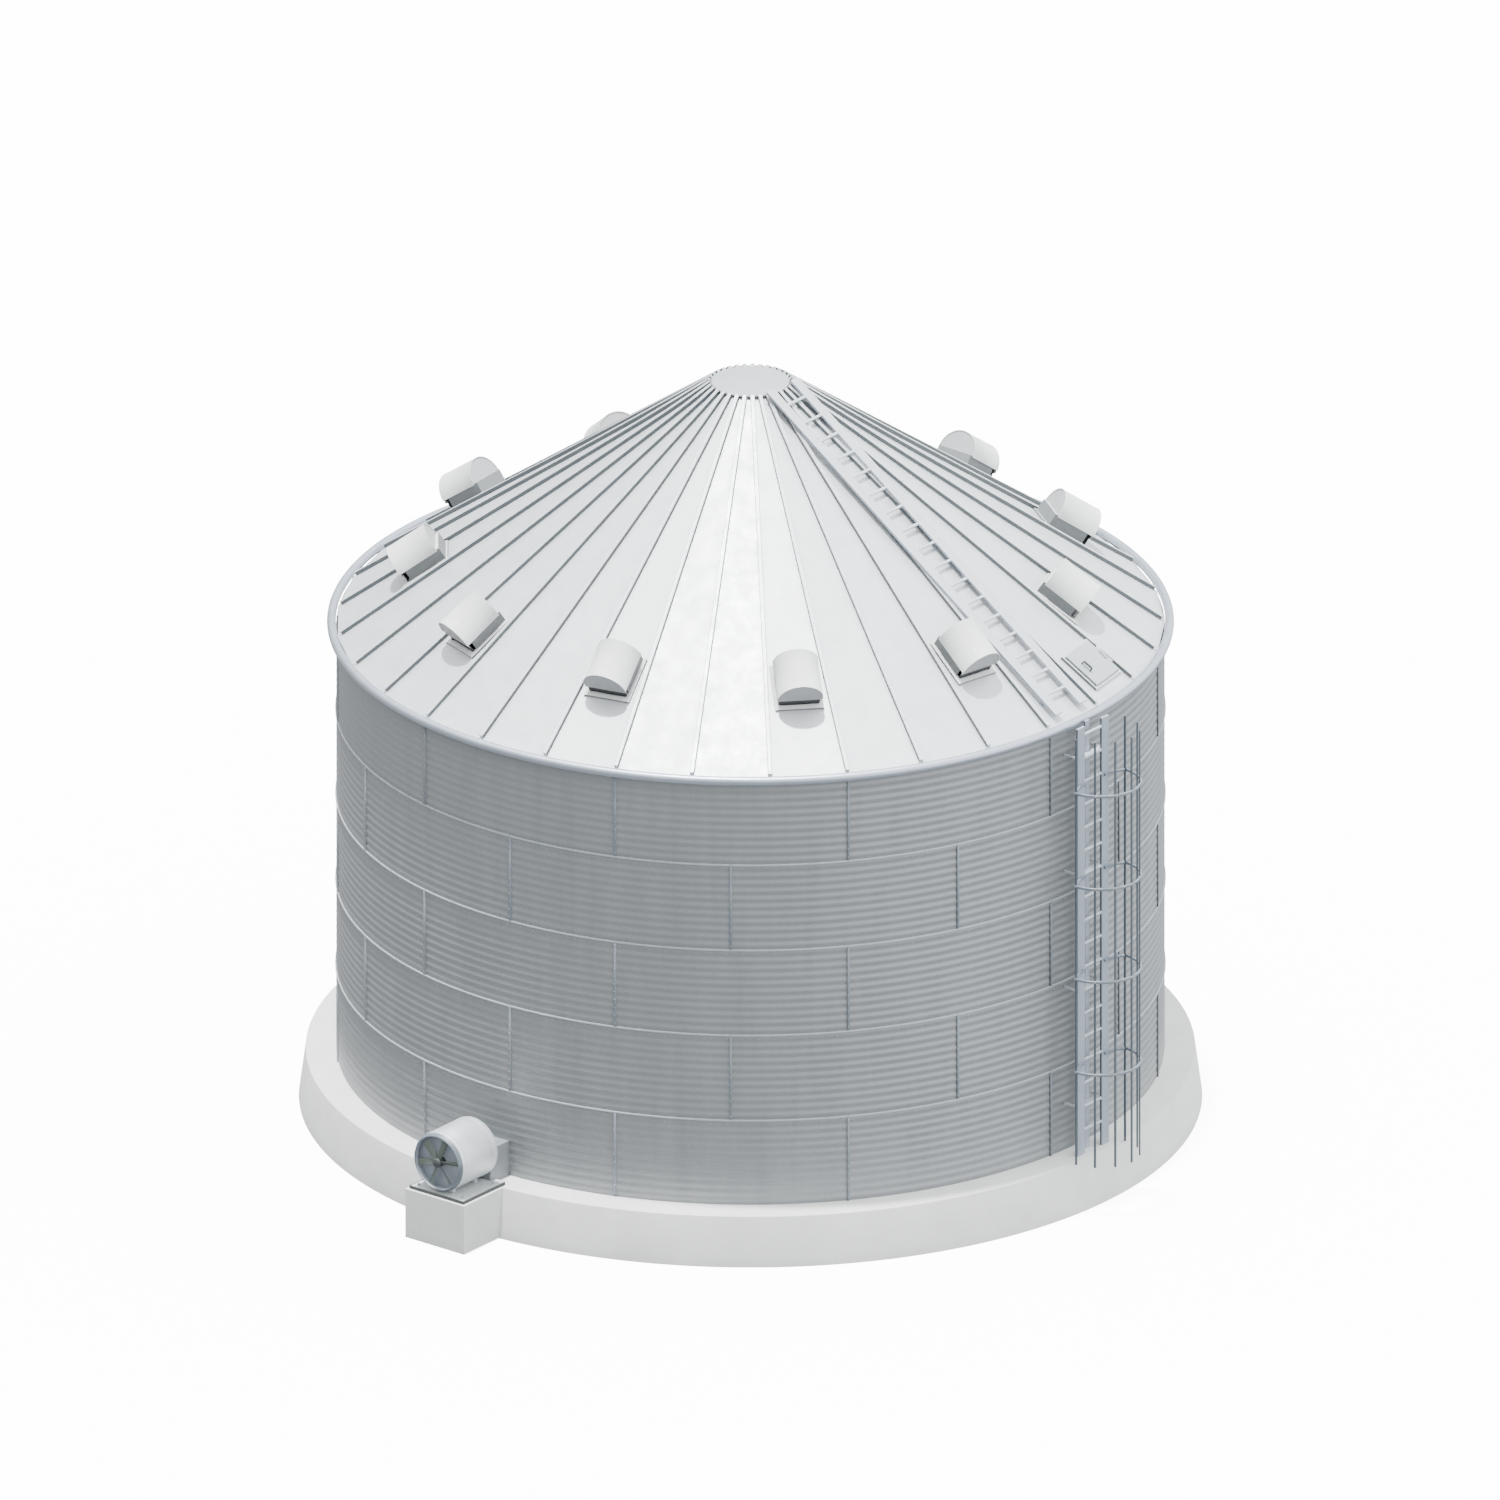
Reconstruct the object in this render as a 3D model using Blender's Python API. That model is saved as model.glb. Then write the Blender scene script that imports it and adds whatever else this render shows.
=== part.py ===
"""A corrugated steel grain silo on a round concrete foundation, in metres, +Z up.

The origin is the middle of the foundation's underside. Bearings are measured from -Y towards +X.
"""

import math

import bmesh
import bpy
from mathutils import Matrix, Vector

# Gap left between pieces that touch
GAP = 0.0003

# Setting out: 33 roof panels, 11 wall sheets a tier, two facets a panel
PANELS = 33
SHEETS = 11
PITCH = 2 * math.pi / PANELS
FACETS = 2 * PANELS
PANELS_A_SHEET = PANELS // SHEETS

# Concrete foundation
PAD_HEIGHT = 0.637
PAD_TOP_RADIUS = 5.40
PAD_FOOT_RADIUS = 5.49

# Corrugated wall
TIERS = 5
TIER_HEIGHT = 1.1176
WALL_RADIUS = 5.03
WALL_DEPTH = 0.03
LAP_PROUD = 0.015
LAP_HEIGHT = 0.02

EAVE_HEIGHT = PAD_HEIGHT + TIERS * TIER_HEIGHT

# Eave tube, one of its flat sides against the wall
EAVE_TUBE_RADIUS = 0.056
EAVE_SIDES = 8

# Roof: one rise along the ribs, flat panels between them
ROOF_SLOPE = math.radians(34.64)
ROOF_EDGE_HEIGHT = EAVE_HEIGHT - 0.015
ROOF_SHEET = 0.012
ROOF_TOP_RADIUS = 0.475
RIB_WIDTH = 0.05
RIB_HEIGHT = 0.052
RIB_SUNK = 0.006
RIB_OUTER_RADIUS = 4.975
TRIM = 0.03
CAP_RISE = 0.025
COLLAR_REACH = 0.05
COLLAR_DEPTH = 0.03
LAP_EDGE = 0.003
PANEL_SLOPE = math.atan(math.tan(ROOF_SLOPE) / math.cos(PITCH / 2))
SHEET_RISE = ROOF_SHEET / math.cos(ROOF_SLOPE)

# Roof vents, one on the first panel of each roof segment
VENT_DISTANCE = 3.93
VENT_HOLE = 0.42
VENT_SKIN = 0.014
VENT_ARC_STEPS = 10
FLANGE_LENGTH = 0.65
FLANGE_WIDTH = 0.60
FLANGE_THICKNESS = 0.03
VENT_CURB_ENDS = (-0.303, 0.25)
VENT_CURB_WIDTH = 0.508
VENT_CURB_TOP = 0.19
HOOD_ENDS = (-0.272, 0.28)
HOOD_RADIUS = 0.28
HOOD_HEIGHT = 0.173
HOOD_SKIRT = 0.085
VENT_SLOT_START = 0.093

# Roof hatch
HATCH_PANEL = 5
HATCH_DISTANCE = 4.606
HATCH_ACROSS = 0.06
HATCH_WIDTH = 0.65
HATCH_LENGTH = 0.585
CURB_HEIGHT = 0.035
CURB_WALL = 0.05
LID_INSET = 0.03
LID_THICKNESS = 0.025
HANDLE_LENGTH = 0.135
HANDLE_OFFSET = 0.17
HANDLE_BAR = 0.02
HANDLE_RISE = 0.045
BARREL_RADIUS = 0.014
BARREL_RISE = 0.019
BARREL_OUT = 0.013
LID_BARREL_LENGTH = 0.14
CURB_BARREL_LENGTH = 0.06
BARREL_SPACE = 0.002
LEAF_HALF = 0.009

# Ladders share one bearing and one rung spacing
LADDER_PANEL = 4
LADDER_BEARING = (LADDER_PANEL + 0.75) * PITCH
RUNG_SPACING = 0.3048
RAIL_WIDTH = 0.14
RAIL_THICKNESS = 0.034
RAIL_OFFSET = 0.235
RUNG_SIZE = 0.028
RUNG_HEIGHT = 0.036
RUNG_OVERLAP = 0.04

ROOF_LADDER_TOP = 0.44
ROOF_LADDER_FOOT = 4.905
ROOF_RAIL_RISE = 0.062
ROOF_RUNGS = 17
ROOF_FIRST_RUNG = 0.658
ROOF_FEET = (3.10, 3.90, 4.70)
FOOT_LENGTH = 0.06
FOOT_WIDTH = 0.05

RAIL_FACE_RADIUS = 5.296
WALL_LADDER_TOP = 6.25
WALL_RUNGS = 18
WALL_FIRST_RUNG = 0.955
BACK_BAR_WIDTH = 0.08
BACK_BAR_FACE = 5.202
BACK_BAR_DEPTH = 0.03
BRACKET_RUNGS = (1, 6, 11, 16)
BRACKET_HEIGHT = 0.026
BRACKET_WIDTH = 0.02
BRACKET_OVERLAP = 0.008

# Safety cage
CAGE_CENTRE = 5.405
CAGE_RADIUS = 0.49
CAGE_BARS = 7
CAGE_BAR_WIDTH = 0.028
CAGE_BAR_DEPTH = 0.018
CAGE_BAR_SUNK = 0.011
CAGE_FOOT = 0.62
CAGE_TOP = 6.21
HOOP_HEIGHTS = (1.84, 3.06, 4.28, 5.50)
HOOP_WIDTH = 0.035
HOOP_THICKNESS = 0.025
HOOP_STEPS = 18
HOOP_LEG_INNER = 0.20
HOOP_LEG_OUTER = 0.29

# Aeration fan, its plinth, plate and duct
FAN_BEARING = math.radians(-38.65)
PLINTH_WIDTH = 0.91
PLINTH_FACE = 6.14
PLATE_WIDTH = 0.81
PLATE_BACK = 5.28
PLATE_FACE = 6.09
PLATE_THICKNESS = 0.04
FAN_AXIS_HEIGHT = 1.075
FAN_RADIUS = 0.375
FAN_SHEET = 0.015
FAN_FACE = 6.06
FAN_BACK = 5.38
MOUTH_FACE = 6.10
MOUTH_RADIUS = 0.345
MOUTH_SHEET = 0.01
FAN_SIDES = 24
FAN_FEET = (5.52, 5.94)
FAN_FOOT_LENGTH = 0.05
FAN_FOOT_WIDTH = 0.30
DUCT_WIDTH = 0.52
DUCT_TOP = 1.09
DUCT_SHEET = 0.02
DUCT_MOUTH_LOW = 0.81
OUTLET_WIDTH = 0.40
OUTLET_HEIGHTS = (0.79, 1.05)
MOTOR_RADIUS = 0.11
MOTOR_FACE = 5.76
SHAFT_RADIUS = 0.025
HUB_RADIUS = 0.06
HUB_BACK = 6.02
HUB_FACE = 6.12
BLADES = 6
BLADE_TURN = math.radians(-9)
BLADE_TIP = 0.305
BLADE_ROOT = 0.035
BLADE_CHORD = 0.085
BLADE_THICKNESS = 0.012
BLADE_PITCH = math.radians(32)

GALVANISED = (0.56, 0.59, 0.61, 1.0)
ROOF_STEEL = (0.76, 0.79, 0.81, 1.0)
CONCRETE = (0.62, 0.62, 0.60, 1.0)
PAINTED_WHITE = (0.82, 0.83, 0.83, 1.0)
BLADE_GREEN = (0.20, 0.25, 0.22, 1.0)


def clear_scene():
    for obj in list(bpy.data.objects):
        bpy.data.objects.remove(obj, do_unlink=True)


def make_material(name, colour, roughness, metallic):
    material = bpy.data.materials.new(name)
    material.use_nodes = True
    shader = material.node_tree.nodes["Principled BSDF"]
    shader.inputs["Base Color"].default_value = colour
    shader.inputs["Roughness"].default_value = roughness
    shader.inputs["Metallic"].default_value = metallic
    return material


def mesh_from(bm):
    """The mesh of bm, closed, with its faces pointing out."""
    bmesh.ops.remove_doubles(bm, verts=bm.verts, dist=1e-5)
    bmesh.ops.recalc_face_normals(bm, faces=bm.faces)
    mesh = bpy.data.meshes.new("piece")
    bm.to_mesh(mesh)
    bm.free()
    return mesh


def add_piece(name, mesh, material, matrix=None, smooth=False):
    obj = bpy.data.objects.new(name, mesh)
    bpy.context.scene.collection.objects.link(obj)
    if matrix is not None:
        obj.matrix_world = matrix
    if not mesh.materials:
        mesh.materials.append(material)
    if smooth:
        mesh.shade_smooth()
        mesh.set_sharp_from_angle(angle=math.radians(30))
    return obj


def combined(base, others, operation):
    """The mesh left when the other meshes are joined to base, or cut from it, one after the other."""
    made = [bpy.data.objects.new("helper", mesh) for mesh in [base, *others]]
    for obj in made:
        bpy.context.scene.collection.objects.link(obj)
    for other in made[1:]:
        modifier = made[0].modifiers.new("combine", "BOOLEAN")
        modifier.operation = operation
        modifier.solver = "EXACT"
        modifier.object = other
    bpy.context.view_layer.update()
    graph = bpy.context.evaluated_depsgraph_get()
    mesh = bpy.data.meshes.new_from_object(made[0].evaluated_get(graph))
    for obj in made:
        bpy.data.objects.remove(obj, do_unlink=True)
    return mesh


def joined(base, others):
    return combined(base, others, "UNION")


def cut(base, others):
    return combined(base, others, "DIFFERENCE")


def prism(outline, low, high, axes="xyz"):
    """A flat outline carried from low to high along the third of the named axes."""
    bm = bmesh.new()
    order = ["xyz".index(axis) for axis in axes]
    rings = []
    for level in (low, high):
        ring = []
        for a, b in outline:
            place = [0.0, 0.0, 0.0]
            for axis, value in zip(order, (a, b, level)):
                place[axis] = value
            ring.append(bm.verts.new(place))
        rings.append(ring)
    bm.faces.new(rings[0])
    bm.faces.new(rings[1])
    for i in range(len(outline)):
        j = (i + 1) % len(outline)
        bm.faces.new((rings[0][i], rings[0][j], rings[1][j], rings[1][i]))
    return mesh_from(bm)


def block(x, y, z):
    """A box, each argument its low and high end on that axis."""
    outline = [(x[0], y[0]), (x[1], y[0]), (x[1], y[1]), (x[0], y[1])]
    return prism(outline, z[0], z[1])


def rod(radius, low, high, sides, centre=(0.0, 0.0), axes="xyz"):
    turn = 2 * math.pi / sides
    outline = [
        (centre[0] + radius * math.cos(i * turn), centre[1] + radius * math.sin(i * turn))
        for i in range(sides)
    ]
    return prism(outline, low, high, axes)


def turned(profile, bearings, closed):
    """A closed (radius, height) profile set up at each bearing and joined round, with ends unless closed."""
    bm = bmesh.new()
    rings = [
        [bm.verts.new((r * math.sin(b), -r * math.cos(b), z)) for r, z in profile]
        for b in bearings
    ]
    size = len(profile)
    for i in range(len(rings) if closed else len(rings) - 1):
        here, there = rings[i], rings[(i + 1) % len(rings)]
        for j in range(size):
            k = (j + 1) % size
            if max(profile[j][0], profile[k][0]) > 0:
                bm.faces.new((here[j], here[k], there[k], there[j]))
    if not closed:
        bm.faces.new(rings[0])
        bm.faces.new(rings[-1])
    return mesh_from(bm)


def turned_full(profile, facets=FACETS):
    """The profile turned all the way round, with corners on the rib lines."""
    step = 2 * math.pi / facets
    return turned(profile, [PITCH / 4 + i * step for i in range(facets)], True)


def moved(mesh, matrix):
    mesh.transform(matrix)
    return mesh


def upright_frame(bearing):
    """Seen from outside at this bearing: X to the right, Y in towards the axis, Z up."""
    return Matrix.Rotation(bearing, 4, "Z")


def roof_height(distance):
    """Height of a panel's middle line at a distance from the axis."""
    apothem = WALL_RADIUS * math.cos(PITCH / 2)
    return ROOF_EDGE_HEIGHT + (apothem - distance) * math.tan(ROOF_SLOPE) / math.cos(PITCH / 2)


def rib_line_height(distance):
    """Height of the sheets along a rib line at a distance from the axis."""
    return ROOF_EDGE_HEIGHT + (WALL_RADIUS - distance) * math.tan(ROOF_SLOPE)


def slope_frame(bearing, place, slope):
    """X down the slope, Y across to the right seen from outside, Z out of the roof."""
    turn = Matrix.Rotation(bearing - math.pi / 2, 4, "Z") @ Matrix.Rotation(slope, 4, "Y")
    return Matrix.Translation(place) @ turn


def panel_frame(panel, distance):
    """The slope frame on a panel's middle line."""
    bearing = (panel + 0.75) * PITCH
    place = (distance * math.sin(bearing), -distance * math.cos(bearing), roof_height(distance))
    return slope_frame(bearing, place, PANEL_SLOPE)


def hatch_frame():
    return panel_frame(HATCH_PANEL, HATCH_DISTANCE) @ Matrix.Translation((0, HATCH_ACROSS, 0))


def rib_frame(rib, distance):
    """The slope frame on a rib line."""
    bearing = (rib + 0.25) * PITCH
    place = (distance * math.sin(bearing), -distance * math.cos(bearing), rib_line_height(distance))
    return slope_frame(bearing, place, ROOF_SLOPE)


def add_foundation(material):
    profile = [
        (0, 0),
        (PAD_FOOT_RADIUS, 0),
        (PAD_TOP_RADIUS, PAD_HEIGHT),
        (0, PAD_HEIGHT),
    ]
    add_piece("foundation_pad", turned_full(profile), material)

    flare = (PAD_FOOT_RADIUS - PAD_TOP_RADIUS) / PAD_HEIGHT
    pad_room = turned_full(
        [
            (0, -1),
            (PAD_FOOT_RADIUS + GAP + flare, -1),
            (PAD_TOP_RADIUS + GAP - flare, PAD_HEIGHT + 1),
            (0, PAD_HEIGHT + 1),
        ]
    )
    half = PLINTH_WIDTH / 2
    plinth = block((-half, half), (-PLINTH_FACE, -PAD_TOP_RADIUS + 0.1), (0, PAD_HEIGHT))
    plinth = cut(moved(plinth, upright_frame(FAN_BEARING)), [pad_room])
    add_piece("fan_plinth", plinth, material)


def add_wall(material):
    inner = WALL_RADIUS - WALL_DEPTH
    for tier in range(TIERS):
        low = PAD_HEIGHT + tier * TIER_HEIGHT + GAP
        high = PAD_HEIGHT + (tier + 1) * TIER_HEIGHT
        if tier < TIERS - 1:
            outer_edge = [
                (WALL_RADIUS, high - LAP_HEIGHT),
                (WALL_RADIUS + LAP_PROUD, high - LAP_HEIGHT),
                (WALL_RADIUS + LAP_PROUD, high),
            ]
        else:
            high = ROOF_EDGE_HEIGHT - SHEET_RISE - GAP
            outer_edge = [(WALL_RADIUS, high)]
        mesh = turned_full([(inner, low), (WALL_RADIUS, low), *outer_edge, (inner, high)])
        if tier == 0:
            half = DUCT_WIDTH / 2 - DUCT_SHEET
            mouth = block(
                (-half, half),
                (-WALL_RADIUS - 0.1, -inner + 0.1),
                (PAD_HEIGHT + DUCT_SHEET, DUCT_TOP - DUCT_SHEET),
            )
            mesh = cut(mesh, [moved(mouth, upright_frame(FAN_BEARING))])
        add_piece(f"wall_ring_{tier + 1}", mesh, material, smooth=True)


def add_eave_tube(material):
    turn = 2 * math.pi / EAVE_SIDES
    centre = WALL_RADIUS + GAP + EAVE_TUBE_RADIUS * math.cos(turn / 2)
    profile = [
        (
            centre + EAVE_TUBE_RADIUS * math.cos((i + 0.5) * turn),
            EAVE_HEIGHT + EAVE_TUBE_RADIUS * math.sin((i + 0.5) * turn),
        )
        for i in range(EAVE_SIDES)
    ]
    add_piece("eave_ring", turned_full(profile), material, smooth=True)


def rib_mesh(rib, lapping):
    """A raised rib sunk a little into its sheet. A lapping one also covers the next segment's edge."""
    half = RIB_WIDTH / 2
    if lapping:
        foot = [(LAP_EDGE, -RIB_SUNK), (LAP_EDGE, GAP), (-half, GAP)]
    else:
        foot = [(-half, -RIB_SUNK)]
    outline = [(-half, RIB_HEIGHT), (half, RIB_HEIGHT), (half, -RIB_SUNK), *foot]
    low = (ROOF_TOP_RADIUS - TRIM - RIB_OUTER_RADIUS) / math.cos(ROOF_SLOPE)
    return moved(prism(outline, low, 0, "yzx"), rib_frame(rib, RIB_OUTER_RADIUS))


def add_roof(material):
    """Segments of three flat panels, each with a hole for its vent, and one with the hatch's."""
    inner = ROOF_TOP_RADIUS - TRIM
    profile = [
        (WALL_RADIUS, ROOF_EDGE_HEIGHT - SHEET_RISE),
        (WALL_RADIUS, ROOF_EDGE_HEIGHT),
        (inner, rib_line_height(inner)),
        (inner, rib_line_height(inner) - SHEET_RISE),
    ]
    cap = ROOF_TOP_RADIUS + GAP
    peak = rib_line_height(cap)
    cap_room = turned_full([(0, peak - 1), (cap, peak - 1), (cap, peak + 1), (0, peak + 1)], PANELS)
    part_line = GAP / 2 / inner
    half_vent = VENT_HOLE / 2
    half_hatch = (HATCH_LENGTH / 2 - CURB_WALL, HATCH_WIDTH / 2 - CURB_WALL)
    for segment in range(SHEETS):
        first = segment * PANELS_A_SHEET
        bearings = [(first + i + 0.25) * PITCH for i in range(PANELS_A_SHEET + 1)]
        bearings[0] += part_line
        bearings[-1] -= part_line
        sheet = turned(profile, bearings, False)
        ribs = [rib_mesh(first + i, i == 0) for i in range(PANELS_A_SHEET)]
        hole = block((-half_vent, half_vent), (-half_vent, half_vent), (-0.1, 0.1))
        holes = [moved(hole, panel_frame(first, VENT_DISTANCE))]
        if first <= HATCH_PANEL < first + PANELS_A_SHEET:
            hole = block(
                (-half_hatch[0], half_hatch[0]), (-half_hatch[1], half_hatch[1]), (-0.1, 0.1)
            )
            holes.append(moved(hole, hatch_frame()))
        mesh = cut(joined(sheet, ribs), [cap_room, *holes])
        add_piece(f"roof_segment_{segment + 1:02d}", mesh, material)


def add_peak_cap(material):
    """A flat disc standing in the top of the roof, with a collar that the sheets lie on."""
    collar = ROOF_TOP_RADIUS + COLLAR_REACH
    seat = SHEET_RISE + GAP
    top = rib_line_height(ROOF_TOP_RADIUS) + CAP_RISE
    bottom = rib_line_height(collar) - seat - COLLAR_DEPTH
    profile = [
        (0, bottom),
        (collar, bottom),
        (collar, rib_line_height(collar) - seat),
        (ROOF_TOP_RADIUS, rib_line_height(ROOF_TOP_RADIUS) - seat),
        (ROOF_TOP_RADIUS, top),
        (0, top),
    ]
    add_piece("peak_cap", turned_full(profile, PANELS), material)


def half_round(radius, base, height, ends):
    """A half-round roof at a height, over straight sides from the base, carried down the slope."""
    arc = [
        (
            radius * math.cos(i * math.pi / VENT_ARC_STEPS),
            height + radius * math.sin(i * math.pi / VENT_ARC_STEPS),
        )
        for i in range(VENT_ARC_STEPS + 1)
    ]
    return prism([(-radius, base), (radius, base), *arc], ends[0], ends[1], "yzx")


def vent_mesh():
    """A curb on a flange, under a hood that is wider than it and has a skirt at its lower end.

    The throat is open to the roof, and to the outside through a slot in each side of the curb.
    """
    skin = VENT_SKIN
    long, wide = FLANGE_LENGTH / 2, FLANGE_WIDTH / 2
    back, front = VENT_CURB_ENDS
    side = VENT_CURB_WIDTH / 2
    flange = block((-long, long), (-wide, wide), (GAP, FLANGE_THICKNESS))
    curb = block((back, front), (-side, side), (FLANGE_THICKNESS / 2, VENT_CURB_TOP))
    hood = half_round(HOOD_RADIUS, HOOD_SKIRT, HOOD_HEIGHT, HOOD_ENDS)
    under_hood = block((-1, HOOD_ENDS[1] - skin), (-1, 1), (0, HOOD_HEIGHT))
    body = joined(cut(hood, [under_hood]), [curb, flange])

    inner = (skin - side, side - skin)
    throat = block((back + skin, front - skin), inner, (-1, VENT_CURB_TOP - skin))
    floor = block((HOOD_ENDS[0] + skin, front - skin), inner, (HOOD_HEIGHT / 2, HOOD_HEIGHT + 2 * skin))
    ends = (HOOD_ENDS[0] + skin, HOOD_ENDS[1] - skin)
    room = half_round(HOOD_RADIUS - skin, HOOD_HEIGHT + skin, HOOD_HEIGHT + 1.5 * skin, ends)
    slot = block((VENT_SLOT_START, front - skin), (-1, 1), (FLANGE_THICKNESS, HOOD_HEIGHT))
    return cut(body, [throat, floor, room, slot])


def add_vents(material):
    mesh = vent_mesh()
    for segment in range(SHEETS):
        frame = panel_frame(segment * PANELS_A_SHEET, VENT_DISTANCE)
        add_piece(f"vent_{segment + 1:02d}", mesh, material, frame, smooth=True)


def add_hatch(material):
    """A curb round a hole and a lid on it, hinged on the side away from the ladder."""
    frame = hatch_frame()
    long, wide = HATCH_LENGTH / 2, HATCH_WIDTH / 2
    hinge_across = wide - BARREL_OUT
    hinge_height = CURB_HEIGHT + BARREL_RISE
    barrel_start = LID_BARREL_LENGTH / 2 + BARREL_SPACE

    curb = block((-long, long), (-wide, wide), (GAP, CURB_HEIGHT))
    hole = block(
        (CURB_WALL - long, long - CURB_WALL), (CURB_WALL - wide, wide - CURB_WALL), (-1, 1)
    )
    leaves = []
    for side in (-1, 1):
        ends = sorted((side * barrel_start, side * (barrel_start + CURB_BARREL_LENGTH)))
        centre = (hinge_across, hinge_height)
        leaves.append(rod(BARREL_RADIUS, ends[0], ends[1], 8, centre, "yzx"))
        across = (hinge_across - LEAF_HALF, hinge_across + LEAF_HALF)
        leaves.append(block(ends, across, (CURB_HEIGHT / 2, hinge_height)))
    curb = joined(cut(curb, [hole]), leaves)
    add_piece("hatch_curb", curb, material, frame)

    # The lid is drawn about its hinge line, so that its origin is on it
    low = CURB_HEIGHT + GAP - hinge_height
    high = low + LID_THICKNESS
    near = wide - LID_INSET - hinge_across
    far = LID_INSET - wide - hinge_across
    lid = block((LID_INSET - long, long - LID_INSET), (far, near), (low, high))
    half = LID_BARREL_LENGTH / 2
    barrel = rod(BARREL_RADIUS, -half, half, 8, (0, 0), "yzx")
    leaf = block((-half, half), (near - LID_INSET, 0), (-LEAF_HALF, LEAF_HALF))
    across = -HANDLE_OFFSET - hinge_across
    bar = (across - HANDLE_BAR / 2, across + HANDLE_BAR / 2)
    reach = HANDLE_LENGTH / 2
    top = high + HANDLE_RISE
    handle = [block((-reach, reach), bar, (top - HANDLE_BAR, top))]
    for side in (-1, 1):
        ends = sorted((side * reach, side * (reach - HANDLE_BAR)))
        handle.append(block(ends, bar, (high - LID_THICKNESS / 2, top - HANDLE_BAR / 2)))
    lid = joined(lid, [barrel, leaf, *handle])
    hinge = Matrix.Translation((0, hinge_across, hinge_height))
    add_piece("hatch_lid", lid, material, frame @ hinge)


def ladder_rungs(places, depth):
    """Rungs between the rails, at places along Z and between two depths on Y."""
    reach = RAIL_OFFSET - RAIL_WIDTH / 2 + RUNG_OVERLAP
    return [
        block((-reach, reach), depth, (place - RUNG_HEIGHT / 2, place + RUNG_HEIGHT / 2))
        for place in places
    ]


def ladder_rails(depth, ends):
    inner, outer = RAIL_OFFSET - RAIL_WIDTH / 2, RAIL_OFFSET + RAIL_WIDTH / 2
    return [block((-outer, -inner), depth, ends), block((inner, outer), depth, ends)]


def add_roof_ladder(material):
    """Drawn standing up, with its outer face at the front, then laid on the roof from the eave up."""
    length = (ROOF_LADDER_FOOT - ROOF_LADDER_TOP) / math.cos(PANEL_SLOPE)
    depth = (-ROOF_RAIL_RISE - RAIL_THICKNESS, -ROOF_RAIL_RISE)
    first = (ROOF_LADDER_FOOT - ROOF_FIRST_RUNG) / math.cos(PANEL_SLOPE)
    inset = (RAIL_THICKNESS - RUNG_SIZE) / 2
    rails = ladder_rails(depth, (0, length))
    rungs = ladder_rungs(
        [first - i * RUNG_SPACING for i in range(ROOF_RUNGS)],
        (depth[0] + inset, depth[1] - inset),
    )
    feet = []
    for distance in ROOF_FEET:
        place = (ROOF_LADDER_FOOT - distance) / math.cos(PANEL_SLOPE)
        for side in (-1, 1):
            middle = side * RAIL_OFFSET
            feet.append(
                block(
                    (middle - FOOT_WIDTH / 2, middle + FOOT_WIDTH / 2),
                    (-ROOF_RAIL_RISE - RAIL_THICKNESS / 2, -GAP),
                    (place - FOOT_LENGTH / 2, place + FOOT_LENGTH / 2),
                )
            )
    mesh = joined(rails[0], [rungs[0], rails[1], *rungs[1:], *feet])
    # Its X goes across, its -Y out of the roof and its Z up the slope
    laid = Matrix(((0, 0, -1, 0), (1, 0, 0, 0), (0, -1, 0, 0), (0, 0, 0, 1)))
    add_piece("roof_ladder", mesh, material, panel_frame(LADDER_PANEL, ROOF_LADDER_FOOT) @ laid)


def add_wall_ladder(material):
    foot = PAD_HEIGHT + GAP
    depth = (-RAIL_FACE_RADIUS, RAIL_THICKNESS - RAIL_FACE_RADIUS)
    inset = (RAIL_THICKNESS - RUNG_SIZE) / 2
    heights = [WALL_FIRST_RUNG + i * RUNG_SPACING for i in range(WALL_RUNGS)]
    rails = ladder_rails(depth, (foot, WALL_LADDER_TOP))
    rungs = ladder_rungs(heights, (depth[0] + inset, depth[1] - inset))
    half = BACK_BAR_WIDTH / 2
    back = block(
        (-half, half), (-BACK_BAR_FACE, BACK_BAR_DEPTH - BACK_BAR_FACE), (foot, WALL_LADDER_TOP)
    )
    behind = depth[1] - inset
    brackets = []
    for rung in BRACKET_RUNGS:
        level = (heights[rung] - BRACKET_HEIGHT / 2, heights[rung] + BRACKET_HEIGHT / 2)
        tie = (behind - BRACKET_OVERLAP, BRACKET_OVERLAP - BACK_BAR_FACE)
        brackets.append(block((-RAIL_OFFSET, RAIL_OFFSET), tie, level))
        for side in (-1, 1):
            middle = side * RAIL_OFFSET
            nearest = RAIL_OFFSET - BRACKET_WIDTH / 2
            wall = WALL_RADIUS - nearest * math.tan(math.pi / FACETS) + GAP
            arm = (behind - BRACKET_OVERLAP, -wall)
            across = (middle - BRACKET_WIDTH / 2, middle + BRACKET_WIDTH / 2)
            brackets.append(block(across, arm, level))
    mesh = joined(rails[0], [rungs[0], rails[1], *rungs[1:], *brackets, back])
    add_piece("wall_ladder", mesh, material, upright_frame(LADDER_BEARING))


def band(path, thickness):
    """The outline of a strip of even thickness along an open path."""
    points = [Vector(point) for point in path]
    sides = []
    for i, point in enumerate(points):
        before = (point - points[i - 1]).normalized() if i > 0 else None
        after = (points[i + 1] - point).normalized() if i + 1 < len(points) else None
        before = before or after
        after = after or before
        along = (before + after).normalized()
        reach = thickness / 2 / along.dot(before)
        sides.append(Vector((-along.y, along.x)) * reach)
    left = [point + side for point, side in zip(points, sides)]
    right = [point - side for point, side in zip(points, sides)]
    return [tuple(point) for point in left + right[::-1]]


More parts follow.
